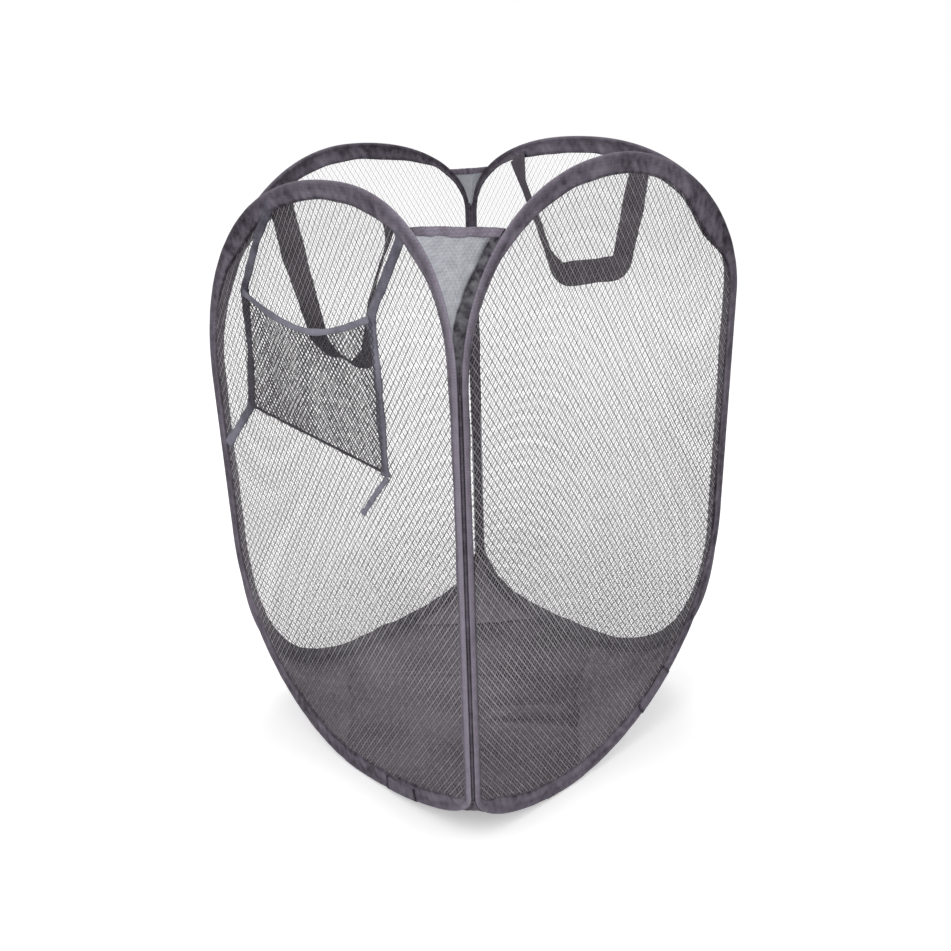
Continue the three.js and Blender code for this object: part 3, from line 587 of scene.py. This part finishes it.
def corner_grid(corner, level, low, high, outset, relief, lean=1.0):
    """Cloth between two hoops: relief(share across, share up) is its depth inwards as a share of the span."""
    angles = np.linspace(low, high, CLOTH_ROWS)
    a = on_corner(corner, level, angles, outset)[0]
    b = on_corner(corner, level, low + (angles - low) * lean, outset)[1]
    across = np.linspace(0, 1, CLOTH_COLUMNS)[None, :]
    up = np.linspace(0, 1, CLOTH_ROWS)[:, None]
    grid = a[:, None] * (1 - across[..., None]) + b[:, None] * across[..., None]
    span = np.linalg.norm(b - a, axis=1)[:, None]
    inwards = -(a + b) / 2
    inwards[:, 2] = 0
    return grid + unit(inwards)[:, None] * (relief(across, up) * span)[..., None]


def sheet_piece(name, grid, mat, thickness, tones):
    return piece(name, grid, grid_faces(*grid.shape[:2]), tones, mat, thickness=thickness)


def closed_strip(name, rows, tones, turn_caps=False):
    """A solid strip of sleeve cloth: one row of points along it for each point of its section, and tones along it."""
    verts = np.stack(rows, 1)
    n, m = verts.shape[:2]
    caps = [range(m), range(n * m - 1, (n - 1) * m - 1, -1)]
    if turn_caps:
        caps = [cap[::-1] for cap in caps]
    return piece(name, verts, grid_faces(n, m, False, True) + caps, np.repeat(tones + np.zeros(n), m))


def follow_corner(obj):
    """The cloth of a corner that is a hinge keeps its place, baked into its mesh, and is attached to no panel."""
    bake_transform(obj)


def flatten_on(obj, body):
    """The half of a piece at the open corner is attached to its own panel, with a mesh of its own."""
    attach(obj, body)
    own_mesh(obj)


def halves(corner):
    """(name ending, columns, body or None) for one whole cloth, or for the two halves of the open corner."""
    if corner != "back_left":
        return [("", slice(None), None)]
    middle = CLOTH_COLUMNS // 2
    return [("_on_back", slice(middle + 1), "back"), ("_on_left", slice(middle, None), "left")]


def place_corner_piece(obj, body):
    if body:
        flatten_on(obj, body)
    else:
        follow_corner(obj)


# Thickness of the gussets and of the cloth of the foot and base
GUSSET_CLOTH = 0.5 * MM
FOOT_CLOTH = 0.6 * MM
BASE_CLOTH = 0.5 * MM
# Sag of the top gussets, how low the second hoop holds them, whether a slack fold turns their far side in, and their
# cloth and tone. The cloth and tone are painted light and shade: the two gussets in shade take the dark sleeve cloth,
# and the other two take the gusset cloth painted darker at the front right and paler at the back left.
GUSSETS = {
    "front_right": dict(sag=0.1, lean=0.88, pleat=True, mat="gusset", tone=0.33),
    "back_right": dict(sag=0.25, lean=1.0, pleat=False, mat="sleeve"),
    "back_left": dict(sag=0.11, lean=1.0, pleat=False, mat="gusset", tone=0.6),
    "front_left": dict(sag=0.25, lean=1.0, pleat=False, mat="sleeve"),
}


def pleat_at(u, v):
    """1 past the edge of a fold that crosses a gusset from the top of its far side to its foot, else 0."""
    edge = np.interp(v, [0, 0.21, 0.45, 0.69, 0.96, 1], [0, 0.12, 0.6, 0.82, 0.9, 0.91])
    return 1 / (1 + np.exp(-(u - edge) / 0.025))


def top_relief(seed, sag, pleat):
    p = np.random.default_rng(seed).random(3) * 2 * math.pi

    def relief(u, v):
        belly = np.sin(math.pi * u)
        slack = 0.035 * np.sin(3 * math.pi * u + 1.2 * v + p[0]) * belly ** 0.7
        fine = 0.012 * np.sin(7 * math.pi * u + 3 * v + p[1]) * belly
        pucker = 0.05 * (1 - v) ** 2 * np.sin(5 * math.pi * u + p[2]) * belly
        return sag * belly + slack + fine + pucker + (0.12 * pleat_at(u, v) * belly if pleat else 0)

    return relief


def make_top_gusset(corner, seed):
    first, _, end = CORNERS[corner]
    look = GUSSETS[corner]
    low, high = tip_angle(corner, "top"), angle_at_height(first, end, "top", HEIGHT * GUSSET_TOP)
    relief = top_relief(seed, look["sag"], look["pleat"])
    grid = corner_grid(corner, "top", low, high, -1.0 * MM, relief, look["lean"])
    u, v = np.linspace(0, 1, CLOTH_COLUMNS)[None, :], np.linspace(0, 1, CLOTH_ROWS)[:, None]
    # Painted light and shade: gussets in shade are dark all over, and the others are painted darker towards their lower
    # tip
    if look["mat"] == "sleeve":
        tones = 0.14 + 0.12 * np.sin(9 * u + 3 * v) ** 2
    else:
        tones = look["tone"] + 0.08 * np.sin(2.2 * u + 1.5 * v) - 0.12 * (1 - v) ** 2
    if look["pleat"]:
        # Painted shade past the fold, with a painted highlight along its crease and a painted glint
        folded = pleat_at(u, v)
        crease = 0.3 * bell(u - 0.55 - 0.3 * v, 0.12) * bell(v - 0.3, 0.12)
        glint = 0.34 * bell(u - 0.6, 0.3) * bell(v - 0.13, 0.045)
        tones = tones * (1 - folded) + folded * (-0.6 + crease + glint)
    for ending, columns, body in halves(corner):
        part = grid[:, columns]
        name, mat = f"{corner}_gusset{ending}", look["mat"]
        obj = sheet_piece(name, part, mat, GUSSET_CLOTH, tones[:, columns])
        place_corner_piece(obj, body)
        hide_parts(f"{corner}_top_gusset")
        make_gusset_binding(corner, part, ending, body)


# Section of a gusset's binding: place down the gusset (below 0 over its edge) and offset (mm), and its depth (mm)
BINDING_SECTION = [(1.0, 0.75), (0.85, 0.95), (0.3, 0.95), (-0.15, 0.85), (-0.3, 0.0), (-0.15, -0.85), (0.3, -0.95),
                   (0.85, -0.95), (1.0, -0.75), (0.98, 0.0)]
BINDING = 7.5


def make_gusset_binding(corner, grid, ending, body):
    """A strip folded over the top edge of a gusset."""
    ends = slice(1 if ending != "_on_left" else 0, -1 if ending != "_on_back" else None)
    top = grid[-1, ends]
    down = unit(grid[-4, ends] - top)
    out = unit(np.cross(down, np.gradient(top, axis=0)))
    t = np.linspace(0, 1, len(top))
    lip = (1.5 + 0.3 * wave(t, 41)) * MM
    depth = (BINDING + 0.6 * wave(t, 42)) * MM
    rows = [top + down * (depth * d if d > 0 else lip * d * 3)[:, None] + out * o * MM for d, o in BINDING_SECTION]
    tones = 0.46 + 0.12 * wave(t, 43) - 0.3 * bell(t, 0.12)
    obj = closed_strip(f"{corner}_binding{ending}", rows, tones)
    place_corner_piece(obj, body)
    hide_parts(f"{corner}_gusset_binding")


FOOT_SEAM = FOOT_LIFT + 1.4 * MM
# Tone of the foot cloth at each corner: painted light and shade, darkest at the front right corner
FOOT_TONE = {"front_right": -0.02, "back_right": 0.16, "back_left": 0.38, "front_left": 0.36}


def foot_relief(seed):
    p = np.random.default_rng(seed).random(2) * 2 * math.pi

    def relief(u, v):
        edge = np.sin(math.pi * u)
        return (0.04 * edge + 0.016 * np.sin(4 * math.pi * u + p[0]) * edge * (1 - 0.6 * v)
                + 0.008 * np.sin(9 * math.pi * u + p[1] + 2 * v) * edge)

    return relief


def make_foot_gusset(corner, seed):
    first, _, end = CORNERS[corner]
    low, high = tip_angle(corner, "foot"), angle_at_height(first, end, "foot", FOOT_SEAM)
    grid = corner_grid(corner, "foot", low, high, -0.8 * MM, foot_relief(seed))[::-1]
    grid[..., 2] = np.maximum(grid[..., 2], 1.2 * MM)
    for ending, columns, body in halves(corner):
        part = grid[:, columns]
        u, v = np.linspace(0, 1, part.shape[1])[None, :], np.linspace(1, 0, part.shape[0])[:, None]
        tones = FOOT_TONE[corner] + 0.1 * np.sin(11 * u + 5 * v) + 0.08 * v + 0 * u
        obj = sheet_piece(f"{corner}_foot{ending}", part, "base", FOOT_CLOTH, tones)
        place_corner_piece(obj, body)
        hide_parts(f"{corner}_foot_gusset")


# Base cloth

def base_corner(panel, end):
    """Where the base cloth meets the foot gusset of one end of a panel, in plan."""
    x = rim(panel, end, "foot", angle_at_height(panel, end, "foot", FOOT_SEAM))[0]
    return world(panel, x + PANELS[panel]["side"] * SIGN[end] * 3 * MM, -1.0 * MM, 0.0)


def resample(points, count):
    points = np.asarray(points)
    length = np.concatenate([[0], np.cumsum(np.linalg.norm(np.diff(points, axis=0), axis=1))])
    at = np.linspace(0, length[-1], count)
    return np.stack([np.interp(at, length, points[:, k]) for k in range(points.shape[1])], -1)


def ridge(distance, width):
    return bell(distance, width * MM)


def base_folds(x, y):
    """(u, v, band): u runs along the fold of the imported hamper, v across it; band is 1 where a loose fold lies."""
    u, v = (x + y) / math.sqrt(2), (y - x) / math.sqrt(2)
    return u, v, 1 / (1 + np.exp(-(44 * MM - np.abs(u - 52 * MM)) / (4 * MM)))


def base_height(x, y):
    """Height of the creased base cloth over the floor."""
    u, v, band = base_folds(x, y)
    h = 0.9 + 0.5 * np.sin(u / (23 * MM) + 1.5 * np.sin(v / (60 * MM))) + 0.4 * np.sin(v / (17 * MM) + u / (70 * MM))
    h += 2.6 * ridge(v - 49 * MM + 0.03 * u, 3.5)
    h += 1.2 * ridge(v + 4 * MM, 3.0)
    h += 5.0 * band * ridge(v + 30 * MM - 0.06 * u, 7)
    h += 2.2 * band * ridge(v + 52 * MM + 0.1 * u, 5)
    return np.clip(h, 0.35, None) * MM


def base_tone(x, y):
    """Painted highlights on the raised creases and folds, painted shade beside them and between the folds, and darker
    towards one side.
    """
    u, v, band = base_folds(x, y)
    tone = 0.22 - 0.26 / (1 + np.exp(-u / (14 * MM))) + 0.2 * np.clip(np.abs(u) / (190 * MM) - 0.45, 0, 1)
    tone += 0.06 * np.sin(u / (19 * MM) + 2 * np.sin(v / (40 * MM)))
    tone += 0.06 * np.sin(v / (13 * MM) + u / (50 * MM))
    tone += 0.24 * ridge(v - 49 * MM + 0.03 * u, 2) - 0.1 * ridge(v - 45 * MM + 0.03 * u, 3)
    tone += band * (0.34 * ridge(v + 34 * MM - 0.06 * u, 7) + 0.26 * ridge(v + 56 * MM + 0.1 * u, 5))
    return tone - 0.12 * band * ridge(v + 45 * MM, 4)


def edge_height(x, y):
    """Height of the edge of the base cloth, which is sewn to the hoops and the foot gussets."""
    reach = max(abs(x), abs(y))
    for panel, (ox, oy) in OUTWARD.items():
        if reach >= PLANE - 1 * MM and ox * x + oy * y == reach:
            along = float(np.clip(ox * y - oy * x, -REACH * 0.98, REACH * 0.98))
            return min(foot_height(panel, along), FOOT_SEAM)
    return FOOT_SEAM


# Points along each half of the base and across it, and the width of its edge that rises to the hoops
BASE_ALONG = 121
BASE_ACROSS = 61
BASE_RISE = 9 * MM


def make_base():
    """Two halves that meet on the diagonal on which the hamper folds."""
    at = {(panel, end): base_corner(panel, end) for panel in PANELS for end in ("a", "b")}
    fold = [(at["front", "b"] + at["left", "b"]) / 2, (at["right", "b"] + at["back", "b"]) / 2]
    chains = {
        "front": [("front", "b"), ("front", "a"), ("right", "a"), ("right", "b")],
        "back": [("left", "b"), ("left", "a"), ("back", "a"), ("back", "b")],
    }
    for body, chain in chains.items():
        outer = resample([fold[0], *[at[key] for key in chain], fold[1]], BASE_ALONG)
        inner = resample(fold, BASE_ALONG)
        r = np.linspace(0, 1, BASE_ACROSS)[:, None, None]
        grid = inner[None] * (1 - r) + outer[None] * r
        edge = np.array([edge_height(x, y) for x, y, _ in outer])
        near = np.clip(1 - np.linalg.norm(grid - outer[None], axis=2) / BASE_RISE, 0, 1) ** 1.5
        grid[..., 2] = base_height(grid[..., 0], grid[..., 1]) * (1 - near) + edge[None] * near
        if body == "front":
            grid = grid[::-1]
        tones = base_tone(grid[..., 0], grid[..., 1])
        obj = sheet_piece(f"base_half_{body}", grid, "base", BASE_CLOTH, tones)
        flatten_on(obj, body)
        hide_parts("base_cloth")


# Seams between the hoops: height of a step along the thread and of one of its turns, points round it and up its edges
SEAM_STEP = 1.6 * MM
SEAM_TURN = 4.8 * MM
SEAM_SIDES = 10
EDGE_ROWS = 160


def make_seam(corner):
    """Thread wound in short slanted turns round the edge where two hoops meet."""
    first, second, _ = CORNERS[corner]
    low, high = joined(corner)
    n = int((high - low) / SEAM_STEP)
    z = np.linspace(low, high, n)
    r = (1.15 + 0.28 * np.sin(2 * math.pi * z / SEAM_TURN) + 0.15 * wave(np.linspace(0, 1, n), 5)) * MM
    x, y = [(OUTWARD[first][k] + OUTWARD[second][k]) * (REACH + FIT) for k in (0, 1)]
    angles = np.linspace(0, 2 * math.pi, SEAM_SIDES, endpoint=False)
    rows = [np.stack([x + r * np.cos(a), y + r * np.sin(a), z], -1) for a in angles]
    obj = closed_strip(f"{corner}_seam_thread", rows, 0.05, turn_caps=True)
    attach(obj, "front" if corner == "front_left" else first)
    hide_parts(f"{corner}_seam")


def make_seam_edges(corner, seed):
    """The selvedges of both sleeves, sewn together along the line on which the panels fold."""
    *pair, end = CORNERS[corner]
    low, high = joined(corner)
    tips = [rim(pair[0], end, level, tip_angle(corner, level))[1] for level in ("foot", "top")]
    z = np.linspace(min(low, tips[0]) - 2 * MM, max(high, tips[1]) + 2 * MM, EDGE_ROWS)
    t = np.linspace(0, 1, EDGE_ROWS)
    for panel in pair:
        side = PANELS[panel]["side"] * SIGN[end]
        rows = []
        for along, inwards in ((-2.3, 1.6), (-0.9, 1.9 + 0.2 * wave(t, seed)), (0.35, 2.9), (-0.7, 2.8), (-2.3, 2.6)):
            x = side * (REACH + along * MM) + 0 * t
            rows.append(world(panel, x, inwards * MM + 0 * t, z))
        obj = closed_strip(f"{corner}_edge_{panel}", rows, 0.02)
        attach(obj, panel)


# Carrying handles

PATH_STEP = 1.5 * MM


def smooth_path(points, radius):
    """A path of straight stretches with round corners, evenly sampled."""
    points = [np.asarray(p, float) for p in points]
    out = [points[0]]
    for before, at, after in zip(points, points[1:], points[2:]):
        legs = [(d, np.linalg.norm(d)) for d in (before - at, after - at)]
        p, q = [at + d / size * min(radius, 0.45 * size) for d, size in legs]
        for t in np.linspace(0, 1, 10):
            out.append((1 - t) ** 2 * p + 2 * t * (1 - t) * at + t * t * q)
    out.append(points[-1])
    length = sum(np.linalg.norm(b - a) for a, b in zip(out, out[1:]))
    return resample(out, max(8, int(length / PATH_STEP)))


def strap_grid(path, roll, width, columns, cup):
    """A ruled strip round a path given in a panel's frame as x, y, z. roll turns the strip out of the panel."""
    tangent = unit(np.gradient(path, axis=0))
    across = unit(np.cross(np.array([0.0, 1.0, 0.0]), tangent))
    normal = np.cross(tangent, across)
    w = across * np.cos(roll)[:, None] + normal * np.sin(roll)[:, None]
    k = np.cross(tangent, w)
    u = np.linspace(-1, 1, columns)[None, :, None]
    return path[:, None] + (w * width[:, None] / 2)[:, None] * u + k[:, None] * (cup * (u ** 2 - 0.4))


# Sewn ends and lower bends of each strap, in shares of the span from the crown's middle and of the drop below the top,
# the height (mm) of the top, and the tones and the rolls (degrees) along the strap
# The pale end of the back strap is a painted highlight
HANDLES = {
    "front": dict(tops=(-0.505, 0.425), feet=((-0.205, 1.0), (0.12, 1.14)), top=532.5,
                  tones=(0.3, 0.2, 0.2, 0.3), rolls=(-24, 0, 52, 54, 128, 132, 172)),
    "back": dict(tops=(-0.47, 0.6), feet=((-0.34, 0.9), (0.18, 1.04)), top=539.8,
                 tones=(0.35, 0.35, 0.3, 0.7), rolls=(0, 0, 6, 6, -34, -34, -4)),
}
HANDLE_SPAN = 150 * MM
HANDLE_DROP = 110 * MM
# Width and thickness of the strap, the points across it, and how far its middle lies inside the panel
STRAP = 24 * MM
STRAP_CLOTH = 1.3 * MM
STRAP_COLUMNS = 9
STRAP_STAND = 2.35 * MM


def make_handle(panel):
    h = HANDLES[panel]
    crown = PANELS[panel]["side"] * WIDTH * CROWN_SHIFT[panel]
    places = [(h["tops"][0], 0), *h["feet"], (h["tops"][1], 0)]
    pts = [(crown + share * HANDLE_SPAN, STRAP_STAND, h["top"] * MM - drop * HANDLE_DROP) for share, drop in places]
    path = smooth_path(pts, 11 * MM)
    t = np.linspace(0, 1, len(path))
    leg = np.cumsum([0] + [math.dist(p, q) for p, q in zip(pts, pts[1:])])
    leg = leg / leg[-1]
    keys = [0, leg[1] - 0.02, leg[1] + 0.08, leg[2] - 0.03, leg[2] + 0.08, 0.9, 1]
    roll = np.radians(np.interp(t, keys, h["rolls"]))
    belly = np.sin(math.pi * t)
    inwards = np.abs(np.sin(roll)) * STRAP / 2
    path[:, 1] += (1.5 * belly ** 2 + 0.8 * belly * wave(t, 78)) * MM + inwards
    if panel == "front":
        path[:, 0] -= 1.05 * inwards * np.clip(t / 0.3, 0, 1) * np.clip((1 - t) / 0.2, 0, 1)
    grid = strap_grid(path, roll, STRAP * (1 + 0.06 * wave(t, 77)), STRAP_COLUMNS, 0.5 * MM)
    tones = np.interp(t, [0, 0.2, 0.8, 1], h["tones"]) + 0.12 * wave(t, 79, (7, 13, 21))
    tones = tones[:, None] + 0.1 * np.linspace(-1, 1, STRAP_COLUMNS) ** 2
    obj = sheet_piece(f"{panel}_handle_strap", from_panel(panel, grid), "strap", STRAP_CLOTH, tones)
    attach(obj, f"{panel}_handle")
    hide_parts(f"{panel}_handle")


# Pocket: x of the ends of its mouth and bottom, heights of the bottom's ends and the mouth, sag of the mouth, distance
# from the panel, width of a tape that fits inside and of one as sewn, its thickness, and the net's diamonds

POCKET_TOP = (-0.269 * WIDTH, 0.249 * WIDTH)
POCKET_FOOT = (-0.303 * WIDTH, 0.26 * WIDTH)
POCKET_BOTTOM = (0.622 * HEIGHT, 0.587 * HEIGHT)
MOUTH = 0.811 * HEIGHT
MOUTH_SAG = 22 * MM
POCKET_STAND = 6.3 * MM
TAPE = 7 * MM
TAPE_FLAT = 9 * MM
TAPE_CLOTH = 1.1 * MM
POCKET_PITCH = 5.2 * MM
POCKET_RISE = 5.8 * MM


def pocket_place(u, v):
    """x and z of the pocket at shares across from its left edge and up from its bottom."""
    left = POCKET_FOOT[0] + (POCKET_TOP[0] - POCKET_FOOT[0]) * v
    right = POCKET_FOOT[1] + (POCKET_TOP[1] - POCKET_FOOT[1]) * v
    bottom = POCKET_BOTTOM[0] + (POCKET_BOTTOM[1] - POCKET_BOTTOM[0]) * u
    top = MOUTH - MOUTH_SAG * np.sin(math.pi * u)
    return left + (right - left) * u, bottom + (top - bottom) * v


def pocket_depth(u, v):
    """Stand of the pocket's net off the panel, with slack folds that hang from its left corner."""
    belly = np.sin(math.pi * np.clip(u, 0, 1)) ** 0.6
    fold = np.sin(9 * u - 4 * v) * (1 - u) * 1.4 + 0.8 * np.sin(14 * u + 5 * v)
    return -(POCKET_STAND + belly * (0.8 + 1.6 * v) * MM + belly * fold * MM)


def net_in_pocket(name, depth, strand, layer):
    """One of the two layers of the pocket's net, which are shifted against each other."""
    u, v = np.linspace(0, 1, 60), np.linspace(0, 1, 40)
    sides = ((u, 0 * u), (1 + 0 * v, v), (u[::-1], 1 + 0 * u), (0 * v, v[::-1]))
    edge = np.concatenate([np.stack(pocket_place(*side), -1) for side in sides])

    def depth_of(q):
        vv = np.clip((q[:, 1] - POCKET_BOTTOM[1]) / (MOUTH - POCKET_BOTTOM[1]), 0, 1)
        return depth((q[:, 0] - POCKET_FOOT[0]) / (POCKET_FOOT[1] - POCKET_FOOT[0]), vv)

    low = (POCKET_FOOT[0] - layer * 1.3 * MM, POCKET_BOTTOM[1] - layer * 0.9 * MM)
    v, f, _ = lattice(lambda q: inside(edge, q), low, (POCKET_FOOT[1] + 5 * MM, MOUTH), POCKET_PITCH, POCKET_RISE,
                      (strand, strand), depth_of)
    net_piece(name, "front", v, f, 0.35, "pocket_net", "pocket_net")


def ribbon(name, points, width, thickness, node, seed, mat="tape", roll=0.0, radius=6 * MM, tone=0.4):
    """A narrow cloth strip along a path in the front panel's frame."""
    path = smooth_path(points, radius)
    t = np.linspace(0, 1, len(path))
    columns = 5
    grid = strap_grid(path, np.radians(roll) + 0.25 * wave(t, seed + 1), width * (1 + 0.12 * wave(t, seed)), columns,
                      0.25 * MM)
    tones = np.interp(t, np.linspace(0, 1, np.size(tone)), np.atleast_1d(tone)) + 0.1 * wave(t, seed + 2)
    obj = sheet_piece(name, from_panel("front", grid), mat, thickness, np.repeat(tones, columns))
    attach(obj, "front")
    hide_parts(node)


def on_sleeve(share, end):
    """Place on the front sleeve, under a place of its crown."""
    return rim("front", end, "top", angle_at_reach("front", end, "top", WIDTH * share), -7 * MM)


def hang(x, z, steps):
    """Places to the left of (x, z), outwards and down from it, by steps in mm."""
    return [(x - left * MM, -out * MM, z - down * MM) for left, out, down in steps]


def make_pocket():
    """The two layers of the net, the tapes that hang it from the sleeve, its hem and its bottom seam."""
    net_in_pocket("pocket_net_outer", pocket_depth, 0.78 * MM, 0)
    net_in_pocket("pocket_net_inner", lambda u, v: 0.35 * pocket_depth(u, v) - 0.6 * MM, 0.7 * MM, 1)
    stand = -POCKET_STAND
    h = TAPE / 2
    left_low, right_low = POCKET_BOTTOM
    right_foot = POCKET_FOOT[1] - h
    left = hang(*on_sleeve(-0.125, "b"), ((0, 0.3, 0), (5, 0.9, 7), (24, 3.2, 33))) + [
        (POCKET_TOP[0] + h, stand * 0.8, MOUTH + 2 * MM),
        (POCKET_TOP[0] + h - 3 * MM, stand * 0.8, 0.45 * MOUTH + 0.55 * left_low),
        (POCKET_FOOT[0] + h, stand * 0.7, left_low),
        (-(REACH - 16 * MM), -2.4 * MM, 0.535 * HEIGHT),
    ]
    right = hang(*on_sleeve(0.354, "a"), ((0, 0.3, 0), (2, 0.9, 7), (14, 4, 30))) + [
        (POCKET_TOP[1] - h, stand * 0.9, MOUTH),
        (POCKET_TOP[1] - h + 4 * MM, stand * 0.9, 0.7 * MOUTH + 0.3 * right_low),
        (right_foot, stand * 0.6, right_low - 2 * MM),
    ]
    ribbon("pocket_left_binding", left, TAPE_FLAT, TAPE_CLOTH, "pocket_left_tape", 61,
           tone=(0.02, 0.02, -0.1, 0.05, 0.15, 0.35))
    ribbon("pocket_right_binding", right, TAPE_FLAT, TAPE_CLOTH, "pocket_right_tape", 67,
           tone=(0.05, 0.1, 0.35, 0.3, 0.2))
    tail = hang(right_foot, right_low, ((0, 2.6, 4), (18, 2.2, 24), (37, 1.8, 46)))
    ribbon("pocket_tape_end", tail, 5 * MM, 0.9 * MM, "pocket_tape_tail", 71)
    u = np.linspace(0.02, 0.98, 15)
    x, z = pocket_place(u, 1 + 0 * u)
    y = pocket_depth(u, 1 + 0 * u) - 0.3 * MM
    ribbon("pocket_mouth_hem", list(zip(x, y, z)), 5.2 * MM, 1.3 * MM, "pocket_hem", 73, radius=9 * MM,
           tone=(0.1, 0.35, 0.5, 0.4, 0.3))
    x, z = pocket_place(u, 0 * u)
    ribbon("pocket_bottom_roll", list(zip(x, 0 * x - 3.2 * MM, z)), 3 * MM, 1.6 * MM, "pocket_bottom_seam", 79,
           "pocket_net", roll=40)


# Lap over the joint of each sleeve

LAP_PLACE = 0.225
LAP = 42 * MM
LAP_POINTS = 25
# Section of a lap: place across the sleeve and offset (mm) from the middle of the panel
LAP_SECTION = [(0.3, 2.4), (0.0, 2.75), (0.02, -0.2), (0.1, -2.6), (0.25, -2.95), (0.5, -2.4), (0.8, -2.2), (1.0, -2.1),
               (1.0, -1.7), (0.5, -1.9), (0.25, -2.4), (0.1, -2.1), (0.05, -0.2), (0.06, 2.2)]


def make_lap(panel, seed):
    side = PANELS[panel]["side"]
    end = "a" if side > 0 else "b"
    middle = side * WIDTH * LAP_PLACE
    angles = [angle_at_reach(panel, end, "foot", middle + k * LAP / 2) for k in (-1, 1)]
    t = np.linspace(*angles, LAP_POINTS)
    s = np.linspace(0, 1, LAP_POINTS)
    width = 15.5 + 0.6 * wave(s, seed) - 1.5 * s
    q = rim(panel, end, "foot", t)
    outwards = (rim(panel, end, "foot", t, MM) - q) / MM
    rows = []
    for depth, y in LAP_SECTION:
        p = q - outwards * (width * depth - 0.7)[:, None] * MM
        rows.append(world(panel, p[:, 0], (y + 0.12 * wave(s, seed + 3)) * MM, np.maximum(p[:, 1], 0.3 * MM)))
    # Painted shade at both ends of the lap, where it steps over the sleeve
    tones = 0.18 - 0.5 * (bell(s, 0.05) + bell(1 - s, 0.05))
    obj = closed_strip(f"{panel}_sleeve_lap_cloth", rows, tones)
    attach(obj, panel)
    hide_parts(f"{panel}_sleeve_lap")


for index, panel in enumerate(PANELS):
    make_net(panel, index * 1.7)
    make_stitches(panel, *make_sleeve(panel, 11 + 7 * index))
    make_lap(panel, 101 + index)
for index, corner in enumerate(CORNERS):
    make_top_gusset(corner, 21 + index)
    make_foot_gusset(corner, 31 + index)
    make_seam(corner)
    make_seam_edges(corner, 51 + index)
make_base()
make_handle("front")
make_handle("back")
make_pocket()

for name, node in frame["nodes"].items():
    if name.endswith(("_wire", "_ferrule")):
        node.data.materials.clear()
        node.data.materials.append(MAT["steel"])

# Camera at the photograph's angle: its focal length and the photograph's width in pixels, the sensor's width in mm, and
# the directions to its right, upwards and backwards

FOCAL = 1082.1
PHOTO = 951
SENSOR = 36
AXES = ((0.6795, 0.7328, -0.0362), (-0.2874, 0.3112, 0.9059), (0.675, -0.6051, 0.422))
camera_data = bpy.data.cameras.new("camera")
camera = add_object("camera", camera_data)
placed = Matrix(AXES).transposed().to_4x4()
placed.translation = Vector((0.7343, -0.6922, 0.637))
camera.matrix_world = placed
camera_data.sensor_width = SENSOR
camera_data.lens = SENSOR * FOCAL / PHOTO
camera_data.shift_x = 0.0268
camera_data.shift_y = 0.0889
camera_data.clip_start, camera_data.clip_end = 0.01, 50
bpy.context.scene.camera = camera

# Floor, world and lamps

FLOOR_HALF = 6.0
FLOOR_HEIGHT = -0.0006
FLOOR_GLOW = 0.34
WORLD_LIGHT = 0.75


def seen_directly(nt):
    """1 for rays of the camera and for glossy rays, else 0."""
    rays = nt.nodes.new("ShaderNodeLightPath")
    return math_node(nt, "MAXIMUM", rays.outputs["Is Camera Ray"], rays.outputs["Is Glossy Ray"])


def area_light(name, location, target, size, power):
    d = bpy.data.lights.new(name, "AREA")
    d.size = size
    d.energy = power
    o = add_object(name, d)
    o.location = location
    o.rotation_mode = "QUATERNION"
    o.rotation_quaternion = (Vector(target) - Vector(location)).to_track_quat("-Z", "Y")


floor_mesh = bpy.data.meshes.new("floor")
s = FLOOR_HALF
floor_mesh.from_pydata([(-s, -s, 0), (s, -s, 0), (s, s, 0), (-s, s, 0)], [], [(0, 1, 2, 3)])
floor = add_object("floor", floor_mesh)
floor.location.z = FLOOR_HEIGHT
paper, nt, b = new_material("floor_paper")
b.inputs["Base Color"].default_value = (0.9, 0.9, 0.9, 1)
b.inputs["Roughness"].default_value = 0.9
glow = add_node(nt, "ShaderNodeEmission", {"Strength": math_node(nt, "MULTIPLY", seen_directly(nt), FLOOR_GLOW)})
both = add_node(nt, "ShaderNodeAddShader", {0: b.outputs[0], 1: glow.outputs[0]})
nt.links.new(both.outputs[0], nt.nodes["Material Output"].inputs[0])
floor_mesh.materials.append(paper)

scene = bpy.context.scene
scene.view_settings.view_transform = "Standard"
studio = bpy.data.worlds.new("studio")
studio.use_nodes = True
scene.world = studio
nt = studio.node_tree
lit = nt.nodes["Background"]
lit.inputs[0].default_value = (1, 1, 1, 1)
lit.inputs[1].default_value = WORLD_LIGHT
white = add_node(nt, "ShaderNodeBackground", {0: (1, 1, 1), 1: 1.0})
mixed = add_node(nt, "ShaderNodeMixShader", {0: seen_directly(nt), 1: lit.outputs[0], 2: white.outputs[0]})
nt.links.new(mixed.outputs[0], nt.nodes["World Output"].inputs[0])

area_light("key_lamp", (0.2, -1.6, 1.9), (0, 0, 0.25), 1.4, 14)
area_light("fill_lamp", (1.8, 0.6, 1.3), (0, 0, 0.25), 1.6, 8)
area_light("back_lamp", (-1.2, 1.4, 1.8), (0, 0, 0.3), 1.4, 7)
